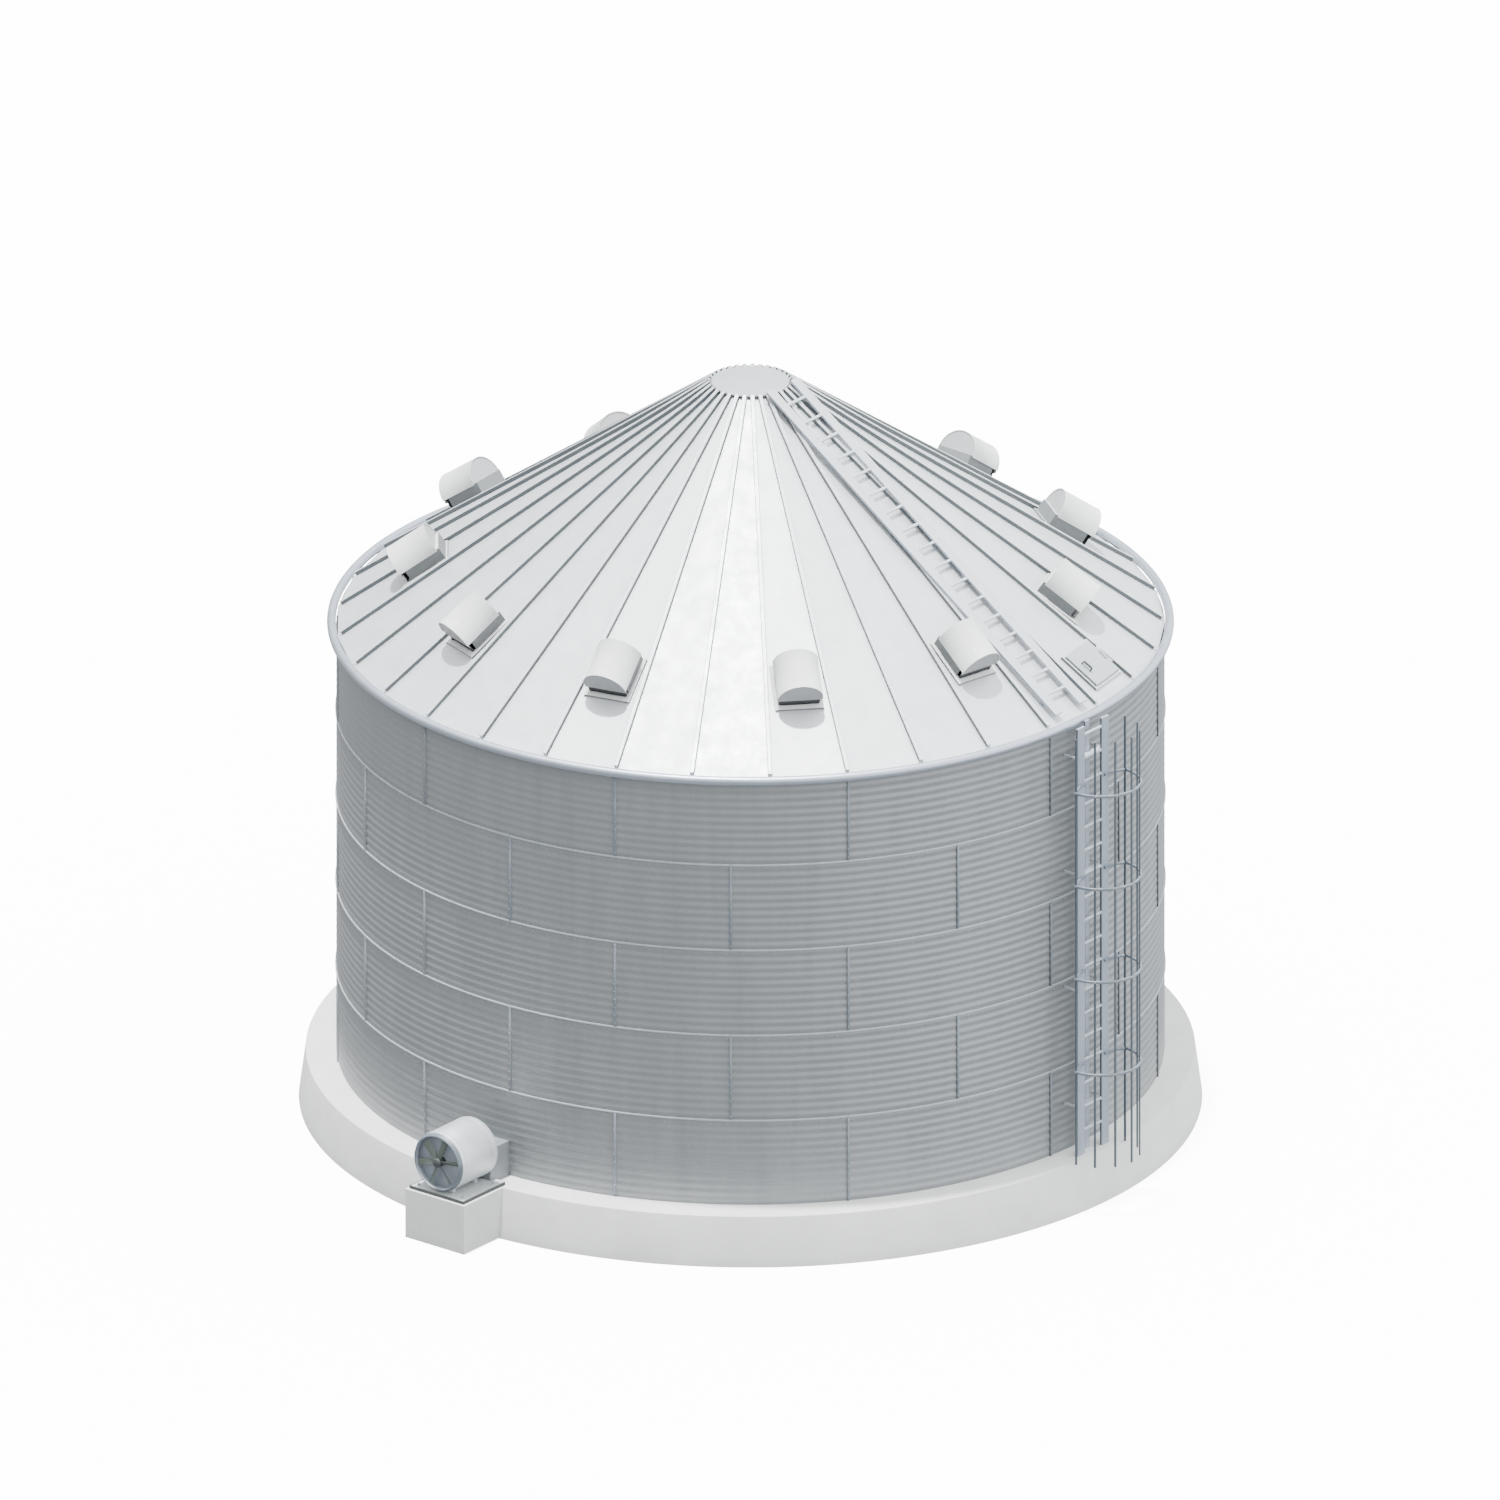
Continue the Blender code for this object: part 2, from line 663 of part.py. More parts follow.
def add_cage(material):
    """Half-round hoops that lie against the rails' faces, and bars down the inside of them."""
    leg = RAIL_FACE_RADIUS + GAP + HOOP_THICKNESS / 2
    arc = [
        (
            CAGE_RADIUS * math.cos(i * math.pi / HOOP_STEPS),
            -CAGE_CENTRE - CAGE_RADIUS * math.sin(i * math.pi / HOOP_STEPS),
        )
        for i in range(HOOP_STEPS + 1)
    ]
    path = [
        (HOOP_LEG_INNER, -leg),
        (HOOP_LEG_OUTER, -leg),
        *arc,
        (-HOOP_LEG_OUTER, -leg),
        (-HOOP_LEG_INNER, -leg),
    ]
    outline = band(path, HOOP_THICKNESS)
    hoops = [
        prism(outline, height - HOOP_WIDTH / 2, height + HOOP_WIDTH / 2)
        for height in HOOP_HEIGHTS
    ]
    middle = CAGE_RADIUS - HOOP_THICKNESS / 2 - CAGE_BAR_DEPTH / 2 + CAGE_BAR_SUNK
    half = CAGE_BAR_WIDTH / 2
    bars = []
    for i in range(CAGE_BARS):
        turn = math.pi * (i / (CAGE_BARS - 1) - 0.5)
        bar = block(
            (-half, half),
            (-middle - CAGE_BAR_DEPTH / 2, CAGE_BAR_DEPTH / 2 - middle),
            (CAGE_FOOT, CAGE_TOP),
        )
        place = Matrix.Translation((0, -CAGE_CENTRE, 0)) @ Matrix.Rotation(turn, 4, "Z")
        bars.append(moved(bar, place))
    mesh = joined(hoops[0], [*bars, *hoops[1:]])
    add_piece("ladder_cage", mesh, material, upright_frame(LADDER_BEARING))


def fan_mouth():
    """The narrowing ring at the housing's front."""
    inner = FAN_RADIUS - FAN_SHEET
    profile = [
        (inner, FAN_FACE),
        (FAN_RADIUS, FAN_FACE),
        (MOUTH_RADIUS, MOUTH_FACE),
        (MOUTH_RADIUS - MOUTH_SHEET, MOUTH_FACE),
        (MOUTH_RADIUS - MOUTH_SHEET, MOUTH_FACE - MOUTH_SHEET),
    ]
    turns = [(i / FAN_SIDES + 0.25) * 2 * math.pi for i in range(FAN_SIDES)]
    place = Matrix.Translation((0, 0, FAN_AXIS_HEIGHT)) @ Matrix.Rotation(math.pi / 2, 4, "X")
    return moved(turned(profile, turns, True), place)


def add_fan(steel, painted, blade_finish):
    """The plate on the plinth, the round housing with its motor, the rotor, and the duct into the bin."""
    frame = upright_frame(FAN_BEARING)
    half = PLATE_WIDTH / 2
    notch = DUCT_WIDTH / 2 + GAP
    outline = [
        (-half, -PLATE_FACE),
        (half, -PLATE_FACE),
        (half, -PLATE_BACK),
        (notch, -PLATE_BACK),
        (notch, -FAN_BACK),
        (-notch, -FAN_BACK),
        (-notch, -PLATE_BACK),
        (-half, -PLATE_BACK),
    ]
    plate_top = PAD_HEIGHT + GAP + PLATE_THICKNESS
    add_piece("fan_plate", prism(outline, PAD_HEIGHT + GAP, plate_top), steel, frame)

    axis = (0, FAN_AXIS_HEIGHT)
    drum = rod(FAN_RADIUS, -FAN_FACE, -FAN_BACK, FAN_SIDES, axis, "xzy")
    feet = [
        block(
            (-FAN_FOOT_WIDTH / 2, FAN_FOOT_WIDTH / 2),
            (-distance - FAN_FOOT_LENGTH / 2, FAN_FOOT_LENGTH / 2 - distance),
            (plate_top + GAP, FAN_AXIS_HEIGHT - FAN_RADIUS + FAN_FOOT_LENGTH),
        )
        for distance in FAN_FEET
    ]
    bore = rod(FAN_RADIUS - FAN_SHEET, -FAN_FACE, -FAN_BACK - FAN_SHEET, FAN_SIDES, axis, "xzy")
    outlet = block(
        (-OUTLET_WIDTH / 2, OUTLET_WIDTH / 2), (-FAN_BACK - 0.1, 0.1 - FAN_BACK), OUTLET_HEIGHTS
    )
    motor = rod(
        MOTOR_RADIUS, -MOTOR_FACE, -FAN_BACK - FAN_SHEET / 2, FAN_SIDES // 2, axis, "xzy"
    )
    housing = joined(cut(joined(drum, feet), [bore, outlet]), [fan_mouth(), motor])
    add_piece("fan_housing", housing, painted, frame, smooth=True)

    # The rotor is drawn about the fan's axis, with Y running back into the housing
    middle = (HUB_BACK + HUB_FACE) / 2
    depth = (HUB_FACE - HUB_BACK) / 2
    hub = rod(HUB_RADIUS, -depth, depth, FAN_SIDES // 2, axes="xzy")
    shaft = rod(SHAFT_RADIUS, 0, middle - MOTOR_FACE - GAP, FAN_SIDES // 2, axes="xzy")
    blades = []
    for i in range(BLADES):
        blade = block(
            (-BLADE_CHORD / 2, BLADE_CHORD / 2),
            (-BLADE_THICKNESS / 2, BLADE_THICKNESS / 2),
            (BLADE_ROOT, BLADE_TIP),
        )
        turn = Matrix.Rotation(BLADE_TURN + (i + 0.5) * 2 * math.pi / BLADES, 4, "Y")
        blades.append(moved(blade, turn @ Matrix.Rotation(BLADE_PITCH, 4, "Z")))
    rotor = joined(hub, [shaft, *blades])
    place = Matrix.Translation((0, -middle, FAN_AXIS_HEIGHT))
    add_piece("fan_rotor", rotor, blade_finish, frame @ place)

    wide = DUCT_WIDTH / 2
    bottom = PAD_HEIGHT + GAP
    duct = block((-wide, wide), (GAP - FAN_BACK, 0.1 - WALL_RADIUS), (bottom, DUCT_TOP))
    passage = block(
        (DUCT_SHEET - wide, wide - DUCT_SHEET),
        (DUCT_SHEET - FAN_BACK, 0.2 - WALL_RADIUS),
        (bottom + DUCT_SHEET, DUCT_TOP - DUCT_SHEET),
    )
    mouth = block(
        (DUCT_SHEET - wide, wide - DUCT_SHEET),
        (-FAN_BACK - 0.1, 0.1 - FAN_BACK),
        (DUCT_MOUTH_LOW, DUCT_TOP - DUCT_SHEET),
    )
    bin_room = turned_full([(0, 0), (WALL_RADIUS + GAP, 0), (WALL_RADIUS + GAP, 2), (0, 2)])
    duct = cut(moved(cut(duct, [passage, mouth]), frame), [bin_room])
    add_piece("fan_duct", duct, painted)


def main():
    clear_scene()
    galvanised = make_material("galvanised_wall", GALVANISED, 0.5, 0.85)
    roof_steel = make_material("roof_sheet", ROOF_STEEL, 0.45, 0.7)
    concrete = make_material("concrete", CONCRETE, 0.85, 0.0)
    painted = make_material("fan_paint", PAINTED_WHITE, 0.4, 0.1)
    blade_finish = make_material("blade_paint", BLADE_GREEN, 0.5, 0.2)
    add_foundation(concrete)
    add_wall(galvanised)
    add_eave_tube(galvanised)
    add_roof(roof_steel)
    add_peak_cap(roof_steel)
    add_vents(roof_steel)
    add_hatch(roof_steel)
    add_roof_ladder(galvanised)
    add_wall_ladder(galvanised)
    add_cage(galvanised)
    add_fan(galvanised, painted, blade_finish)


main()
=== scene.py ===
import math

import bmesh
import bpy
import numpy as np
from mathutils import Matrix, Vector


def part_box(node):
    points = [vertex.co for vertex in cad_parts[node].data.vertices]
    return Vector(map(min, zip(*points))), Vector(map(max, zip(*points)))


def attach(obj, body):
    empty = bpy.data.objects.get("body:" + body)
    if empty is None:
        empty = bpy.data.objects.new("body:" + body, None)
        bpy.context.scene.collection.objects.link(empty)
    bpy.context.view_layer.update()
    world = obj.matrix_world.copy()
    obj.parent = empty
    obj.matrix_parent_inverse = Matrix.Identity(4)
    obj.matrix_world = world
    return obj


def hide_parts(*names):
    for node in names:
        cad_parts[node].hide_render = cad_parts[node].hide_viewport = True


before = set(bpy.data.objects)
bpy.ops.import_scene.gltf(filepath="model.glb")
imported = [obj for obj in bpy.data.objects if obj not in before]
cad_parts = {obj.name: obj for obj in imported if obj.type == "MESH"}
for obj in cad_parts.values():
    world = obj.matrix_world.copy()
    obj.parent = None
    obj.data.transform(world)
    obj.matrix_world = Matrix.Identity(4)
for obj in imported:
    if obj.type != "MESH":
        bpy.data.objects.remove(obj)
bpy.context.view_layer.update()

# Everything here is in metres. Bearings are measured from -Y towards +X, round the bin's axis.
setOut = {"panels": 33, "sheets": 11, "tiers": 5, "columns": 132}
pitch = 2 * math.pi / setOut["panels"]


# Shapes: a shape is (points, quads, caps), and local axes are the rows of a 3 x 3 array

def loft(rings, closed=False):
    # rings[i, j] is point j of the profile at step i of the path: neighbours are joined by quads,
    # round the profile always and round the path where it is closed, or else its two ends are capped
    rows, cols = rings.shape[:2]
    i = np.arange(rows if closed else rows - 1)[:, None]
    j = np.arange(cols)[None, :]
    nextI, nextJ = (i + 1) % rows, (j + 1) % cols
    corners = (i * cols + j, nextI * cols + j, nextI * cols + nextJ, i * cols + nextJ)
    quads = np.stack(np.broadcast_arrays(*corners), -1).reshape(-1, 4)
    caps = [] if closed else [np.arange(cols)[::-1], (rows - 1) * cols + np.arange(cols)]
    return rings.reshape(-1, 3), quads, caps


def merged(shapes):
    # the shapes' points one after the other, with every face's numbers moved on by the points before
    starts = np.cumsum([0] + [len(shape[0]) for shape in shapes[:-1]])
    points = np.concatenate([shape[0] for shape in shapes])
    quads = np.concatenate([shape[1] + start for shape, start in zip(shapes, starts)])
    caps = [cap + start for shape, start in zip(shapes, starts) for cap in shape[2]]
    return points, quads, caps


def placed(shape, origin, axes):
    # each local (x, y, z) becomes origin + x, y and z times the three axes
    return np.asarray(origin) + shape[0] @ np.asarray(axes), shape[1], shape[2]


def picked(parts, picks):
    # material numbers in the merged shape's order: every part's quads first, and then its caps
    quads = [np.broadcast_to(pick, len(part[1])) for part, pick in zip(parts, picks)]
    caps = [np.full(len(part[2]), np.min(pick)) for part, pick in zip(parts, picks)]
    return np.concatenate(quads + caps)


def makePiece(name, shape, finish, body, replaced=(), sharpAngle=35, paint=None):
    points, quads, caps = shape
    mesh = bpy.data.meshes.new(name)
    mesh.from_pydata(points.tolist(), [], quads.tolist() + [cap.tolist() for cap in caps])
    finishes = finish if isinstance(finish, list) else [finish]
    for material in finishes:
        mesh.materials.append(material)
    if paint is not None:
        picks = np.zeros(len(mesh.polygons), dtype=np.int32)
        picks[:len(paint)] = paint  # what comes after them keeps the first finish
        mesh.polygons.foreach_set("material_index", picks)
    bm = bmesh.new()
    bm.from_mesh(mesh)
    bmesh.ops.recalc_face_normals(bm, faces=bm.faces)
    bm.to_mesh(mesh)
    bm.free()
    mesh.shade_smooth()
    mesh.set_sharp_from_angle(angle=math.radians(sharpAngle))
    piece = bpy.data.objects.new(name, mesh)
    bpy.context.scene.collection.objects.link(piece)
    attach(piece, body)
    if replaced:
        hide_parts(*replaced)
    return piece


def turnedLoop(profile, bearings, closed=True):
    # a closed (radius, height) profile at each bearing: x = r sin b, y = -r cos b, z = height
    r, z = np.asarray(profile).T
    b = np.asarray(bearings)[:, None]
    return loft(np.stack((r * np.sin(b), -r * np.cos(b), np.broadcast_to(z, (len(b), len(z)))), -1), closed)


def lathe(profile, columns):
    # an open (radius, height) profile turned about z, each point a level ring, with both ends capped
    r, z = np.asarray(profile).T[:, :, None]
    turn = np.arange(columns) * 2 * np.pi / columns
    return loft(np.stack((r * np.cos(turn), r * np.sin(turn), np.broadcast_to(z, (len(r), columns))), -1))


def roundedOutline(width, height, corner, steps=4):
    # a rectangle with quarter circles for corners: corner centre plus the radius at each angle
    turn = np.linspace(0, np.pi / 2, steps)
    angles = (np.arange(4)[:, None] * np.pi / 2 + turn).ravel()
    centreX = (width / 2 - corner) * np.repeat([1, -1, -1, 1], steps)
    centreY = (height / 2 - corner) * np.repeat([1, 1, -1, -1], steps)
    return np.stack((centreX + corner * np.cos(angles), centreY + corner * np.sin(angles)), -1)


def slab(x, y, z, corner=0.004, edge=0.002):
    # a box over three ranges: its rounded outline at four levels, drawn in at the first and the last
    size = np.array((x[1] - x[0], y[1] - y[0]))
    outline = roundedOutline(size[0], size[1], corner)
    levels = np.array((z[0], z[0] + edge, z[1] - edge, z[1]))
    drawnIn = np.array((edge, 0, 0, edge))[:, None, None]
    rings = np.empty((4, len(outline), 3))
    rings[..., :2] = outline * (1 - 2 * drawnIn / size) + ((x[0] + x[1]) / 2, (y[0] + y[1]) / 2)
    rings[..., 2] = levels[:, None]
    return loft(rings)


# Of the sixteen faces round a slab, the eighth looks to -x, the twelfth to -y and the last to +x
slabFaces = {"left": 7, "front": 11, "right": 15}


def slabPaint(**numbers):
    # a material number for each of a slab's 48 side faces: 0 but on the sides that are named
    faces = np.zeros(16, int)
    for side, number in numbers.items():
        faces[slabFaces[side]] = number
    return np.tile(faces, 3)


def sweep(outline, path, sideways, closed=False):
    # an (across, along) outline carried along a path: across lies on sideways x tangent, along on sideways
    path = np.asarray(path, float)
    if closed:
        tangent = np.roll(path, -1, 0) - np.roll(path, 1, 0)
    else:
        tangent = np.gradient(path, axis=0)
    tangent /= np.linalg.norm(tangent, axis=1, keepdims=True)
    sideways = np.asarray(sideways, float)
    across = np.cross(sideways, tangent)
    across /= np.linalg.norm(across, axis=1, keepdims=True)
    along = np.cross(tangent, across)
    rings = path[:, None] + outline[None, :, :1] * across[:, None] + outline[None, :, 1:] * along[:, None]
    return loft(rings, closed)


def strapWall(corners, thickness, low, high, closed=False):
    # a thin upright wall along straight runs: each corner is moved half the thickness to both sides,
    # along the bisector of its two runs and by 1 / cos(half the turn), at the low and the high level
    corners = np.asarray(corners, float)
    after = np.roll(corners, -1, 0) - corners
    before = corners - np.roll(corners, 1, 0)
    if not closed:
        after[-1], before[0] = before[-1], after[0]
    after /= np.linalg.norm(after, axis=1, keepdims=True)
    before /= np.linalg.norm(before, axis=1, keepdims=True)
    middle = after + before
    middle /= np.linalg.norm(middle, axis=1, keepdims=True)
    reach = thickness / 2 / np.sum(middle * after, axis=1, keepdims=True)
    side = np.stack((-middle[:, 1], middle[:, 0]), -1) * reach
    rings = np.empty((len(corners), 4, 3))
    rings[:, 0, :2] = rings[:, 1, :2] = corners + side
    rings[:, 2, :2] = rings[:, 3, :2] = corners - side
    rings[:, (0, 3), 2] = low
    rings[:, (1, 2), 2] = high
    return loft(rings, closed)


def boltHeads(origins, outward, radius, height):
    # hexagons at each origin, their face drawn in to three quarters, standing along the outward axes
    origins, outward = np.asarray(origins, float), np.asarray(outward, float)
    side = np.cross(outward, (0.31, 0.17, 0.93))
    side /= np.linalg.norm(side, axis=1, keepdims=True)
    up = np.cross(outward, side)
    turn = np.arange(6) * np.pi / 3
    size = radius * np.repeat((1, 1, 0.75), 6)
    lift = np.repeat((-0.3 * height, 0.6 * height, height), 6)
    c, s = np.tile(np.cos(turn), 3) * size, np.tile(np.sin(turn), 3) * size
    local = [axis[:, None] * value[None, :, None] for axis, value in ((side, c), (up, s), (outward, lift))]
    points = origins[:, None] + sum(local)
    one = loft(np.zeros((3, 6, 3)))
    starts = np.arange(len(origins)) * 18
    quads = (one[1][None] + starts[:, None, None]).reshape(-1, 4)
    caps = [cap + start for start in starts for cap in one[2]]
    return points.reshape(-1, 3), quads, caps


def uprightAxes(bearing):
    # seen from outside: x to the right, y in towards the axis, z up
    c, s = math.cos(bearing), math.sin(bearing)
    return np.array(((c, s, 0), (-s, c, 0), (0, 0, 1)))


def slopeAxes(bearing, slope):
    # x down the slope, y across to the right, z out of the roof
    c, s = math.cos(bearing), math.sin(bearing)
    cs, ss = math.cos(slope), math.sin(slope)
    return np.array(((cs * s, -cs * c, -ss), (c, s, 0), (ss * s, -ss * c, cs)))


# Finishes

def greys(light, dark, roughness, metallic, bump=0.02):
    return {"light": light, "dark": dark, "roughness": roughness, "metallic": metallic, "bump": bump}


finishSet = {
    "wallSteel": greys((0.262, 0.275, 0.284), (0.226, 0.238, 0.247), 0.48, 0.5),
    "seamSteel": greys((0.190, 0.222, 0.255), (0.165, 0.195, 0.225), 0.5, 0.3),
    # The lap bands' tone, also used as painted light on the seam strips' right sides
    "lapAndLitSideSteel": greys((0.400, 0.425, 0.440), (0.350, 0.370, 0.385), 0.45, 0.4),
    "roofSteel": greys((0.550, 0.565, 0.580), (0.500, 0.515, 0.530), 0.44, 0.35),
    "capSteel": greys((0.335, 0.365, 0.385), (0.315, 0.345, 0.365), 0.5, 0.2),
    # Painted shade: a dark grey for the sides of ribs and seam strips, and for the hatch's shaded sides
    "paintedShadeSteel": greys((0.095, 0.108, 0.114), (0.075, 0.088, 0.094), 0.5, 0.3),
    "eaveSteel": greys((0.370, 0.410, 0.465), (0.345, 0.385, 0.440), 0.42, 0.75, bump=0.0),
    # The wall ladder's rails, and painted shade on the roof ladder's rail sides
    "ladderAndShadeSteel": greys((0.330, 0.375, 0.435), (0.290, 0.335, 0.390), 0.42, 0.4),
    # Painted shade on the sides of the wall ladder's rails and back bar
    "railShadeSteel": greys((0.100, 0.115, 0.135), (0.080, 0.095, 0.110), 0.45, 0.4),
    # The roof ladder's tone, and painted light on the wall ladder's rungs and brackets
    "roofLadderAndLitSteel": greys((0.460, 0.490, 0.520), (0.420, 0.450, 0.480), 0.45, 0.3),
    "barSteel": greys((0.110, 0.130, 0.150), (0.090, 0.110, 0.130), 0.42, 0.5),
    "hoopSteel": greys((0.200, 0.230, 0.265), (0.170, 0.200, 0.235), 0.42, 0.4),
    "ventSteel": greys((0.580, 0.590, 0.580), (0.540, 0.550, 0.540), 0.75, 0.0),
    # Painted shade on the vents' end plates
    "ventEndShadeSteel": greys((0.290, 0.300, 0.305), (0.270, 0.280, 0.285), 0.7, 0.0),
    # Painted shade on the vents' curbs, shelves and flange sides, and on the hatch lid's down-slope side
    "curbShadeSteel": greys((0.150, 0.160, 0.165), (0.130, 0.140, 0.145), 0.6, 0.2),
    "boltSteel": greys((0.340, 0.360, 0.370), (0.260, 0.280, 0.290), 0.35, 0.6),
    "plateSteel": greys((0.500, 0.520, 0.520), (0.450, 0.470, 0.470), 0.5, 0.1),
    # Near-black: the fan hub's own colour and the strip round the fan plate's sides; painted shade on the
    # vents' curb fronts and between the ribs under the cap
    "darkSteelAndShade": greys((0.045, 0.050, 0.050), (0.035, 0.040, 0.040), 0.6, 0.1),
    "gripPaint": greys((0.014, 0.015, 0.016), (0.010, 0.011, 0.012), 0.5, 0.0),
    "drumSteel": greys((0.660, 0.680, 0.700), (0.620, 0.640, 0.660), 0.52, 0.75, bump=0.0),
    "ringPaint": greys((0.280, 0.310, 0.345), (0.250, 0.280, 0.315), 0.5, 0.0),
    "ductPaint": greys((0.200, 0.215, 0.225), (0.170, 0.185, 0.195), 0.45, 0.0),
    "bladePaint": greys((0.085, 0.105, 0.090), (0.065, 0.085, 0.070), 0.4, 0.1),
    "motorPaint": greys((0.120, 0.150, 0.170), (0.080, 0.100, 0.120), 0.45, 0.1),
}


def nodeKit(material):
    # short words for the material's tree: add a node with its values, link two sockets, and its shader
    tree = material.node_tree

    def add(kind, **values):
        node = tree.nodes.new(kind)
        for key, value in values.items():
            if key in node.inputs:
                node.inputs[key].default_value = value
            else:
                setattr(node, key, value)
        return node

    return add, tree.links.new, tree.nodes["Principled BSDF"]


def ramp(add, low, high, start, end):
    node = add("ShaderNodeValToRGB")
    first, last = node.color_ramp.elements
    first.position, first.color = start, (*low, 1)
    last.position, last.color = end, (*high, 1)
    return node


def steelFinish(name, look, spangle=70, streak=(5, 5, 0.5)):
    # crystals of zinc and long streaks of weather, both small changes of tone between two greys
    material = bpy.data.materials.new(name)
    material.use_nodes = True
    add, link, shader = nodeKit(material)
    shader.inputs["Metallic"].default_value = look["metallic"]
    where = add("ShaderNodeTexCoord")
    crystals = add("ShaderNodeTexVoronoi", Scale=spangle)
    link(where.outputs["Object"], crystals.inputs["Vector"])
    stretch = add("ShaderNodeMapping", Scale=streak)
    link(where.outputs["Object"], stretch.inputs["Vector"])
    streaks = add("ShaderNodeTexNoise", Scale=1.0, Detail=6.0, Roughness=0.6)
    link(stretch.outputs["Vector"], streaks.inputs["Vector"])
    grain = add("ShaderNodeMix", data_type="RGBA", Factor=0.72)
    link(crystals.outputs["Color"], grain.inputs["A"])
    link(streaks.outputs["Fac"], grain.inputs["B"])
    tone = ramp(add, look["dark"], look["light"], 0.3, 0.7)
    link(grain.outputs["Result"], tone.inputs["Fac"])
    link(tone.outputs["Color"], shader.inputs["Base Color"])
    shine = add("ShaderNodeMapRange", **{"From Min": 0.3, "From Max": 0.7})
    shine.inputs["To Min"].default_value = look["roughness"] - 0.06
    shine.inputs["To Max"].default_value = look["roughness"] + 0.08
    link(streaks.outputs["Fac"], shine.inputs["Value"])
    link(shine.outputs["Result"], shader.inputs["Roughness"])
    relief = add("ShaderNodeBump", Strength=look["bump"], Distance=0.004)
    link(crystals.outputs["Distance"], relief.inputs["Height"])
    link(relief.outputs["Normal"], shader.inputs["Normal"])
    return material


def paintFinish(name, look, bump=0.03):
    # sprayed paint: slow clouds of tone and a fine orange peel
    material = bpy.data.materials.new(name)
    material.use_nodes = True
    add, link, shader = nodeKit(material)
    shader.inputs["Metallic"].default_value = look["metallic"]
    shader.inputs["Coat Weight"].default_value = 0.15
    where = add("ShaderNodeTexCoord")
    clouds = add("ShaderNodeTexNoise", Scale=4.0, Detail=5.0)
    peel = add("ShaderNodeTexNoise", Scale=220.0, Detail=2.0)
    link(where.outputs["Object"], clouds.inputs["Vector"])
    link(where.outputs["Object"], peel.inputs["Vector"])
    tone = ramp(add, look["dark"], look["light"], 0.35, 0.6)
    link(clouds.outputs["Fac"], tone.inputs["Fac"])
    link(tone.outputs["Color"], shader.inputs["Base Color"])
    shine = add("ShaderNodeMapRange")
    shine.inputs["To Min"].default_value = look["roughness"] - 0.05
    shine.inputs["To Max"].default_value = look["roughness"] + 0.1
    link(clouds.outputs["Fac"], shine.inputs["Value"])
    link(shine.outputs["Result"], shader.inputs["Roughness"])
    relief = add("ShaderNodeBump", Strength=bump, Distance=0.002)
    link(peel.outputs["Fac"], relief.inputs["Height"])
    link(relief.outputs["Normal"], shader.inputs["Normal"])
    return material


def concreteFinish(name):
    # cast concrete: cloudy tone, fine sand, small pits, and damp rising a little from the ground
    look = {
        "dry": (0.64, 0.64, 0.63), "shade": (0.57, 0.57, 0.56), "damp": (0.46, 0.46, 0.45), "dampTop": 0.12,
    }
    material = bpy.data.materials.new(name)
    material.use_nodes = True
    add, link, shader = nodeKit(material)
    where = add("ShaderNodeTexCoord")
    clouds = add("ShaderNodeTexNoise", Scale=1.6, Detail=8.0, Roughness=0.62)
    sand = add("ShaderNodeTexNoise", Scale=90.0, Detail=4.0)
    pits = add("ShaderNodeTexVoronoi", Scale=26.0)
    for texture in (clouds, sand, pits):
        link(where.outputs["Object"], texture.inputs["Vector"])
    tone = ramp(add, look["shade"], look["dry"], 0.32, 0.62)
    link(clouds.outputs["Fac"], tone.inputs["Fac"])
    speck = ramp(add, (0.90, 0.90, 0.90), (1.0, 1.0, 1.0), 0.3, 0.6)
    link(sand.outputs["Fac"], speck.inputs["Fac"])
    sanded = add("ShaderNodeMix", data_type="RGBA", blend_type="MULTIPLY", Factor=1.0)
    link(tone.outputs["Color"], sanded.inputs["A"])
    link(speck.outputs["Color"], sanded.inputs["B"])
    height = add("ShaderNodeSeparateXYZ")
    link(where.outputs["Object"], height.inputs["Vector"])
    uneven = add("ShaderNodeMath", operation="MULTIPLY_ADD")
    uneven.inputs[1].default_value = 0.16
    link(clouds.outputs["Fac"], uneven.inputs[0])
    link(height.outputs["Z"], uneven.inputs[2])
    rising = add("ShaderNodeMapRange", **{"From Min": 0.08, "From Max": look["dampTop"] + 0.1})
    rising.inputs["To Min"].default_value = 0.5
    rising.inputs["To Max"].default_value = 0.0
    link(uneven.outputs["Value"], rising.inputs["Value"])
    damp = add("ShaderNodeMix", data_type="RGBA")
    damp.inputs["B"].default_value = (*look["damp"], 1)
    link(rising.outputs["Result"], damp.inputs["Factor"])
    link(sanded.outputs["Result"], damp.inputs["A"])
    link(damp.outputs["Result"], shader.inputs["Base Color"])
    shader.inputs["Roughness"].default_value = 0.88
    pitDepth = add("ShaderNodeMapRange", **{"From Min": 0.0, "From Max": 0.16})
    link(pits.outputs["Distance"], pitDepth.inputs["Value"])
    rough = add("ShaderNodeMath", operation="MULTIPLY_ADD")
    rough.inputs[1].default_value = 0.5
    link(sand.outputs["Fac"], rough.inputs[0])
    link(pitDepth.outputs["Result"], rough.inputs[2])
    relief = add("ShaderNodeBump", Strength=0.35, Distance=0.004)
    link(rough.outputs["Value"], relief.inputs["Height"])
    link(relief.outputs["Normal"], shader.inputs["Normal"])
    return material


painted = ("ringPaint", "ductPaint", "bladePaint", "motorPaint", "gripPaint", "ventSteel", "ventEndShadeSteel")
finishes = {
    name: paintFinish(name, look) if name in painted else steelFinish(name, look)
    for name, look in finishSet.items()
}
concrete = concreteFinish("castConcrete")
print("finishes made")


# Sizes read from the frame

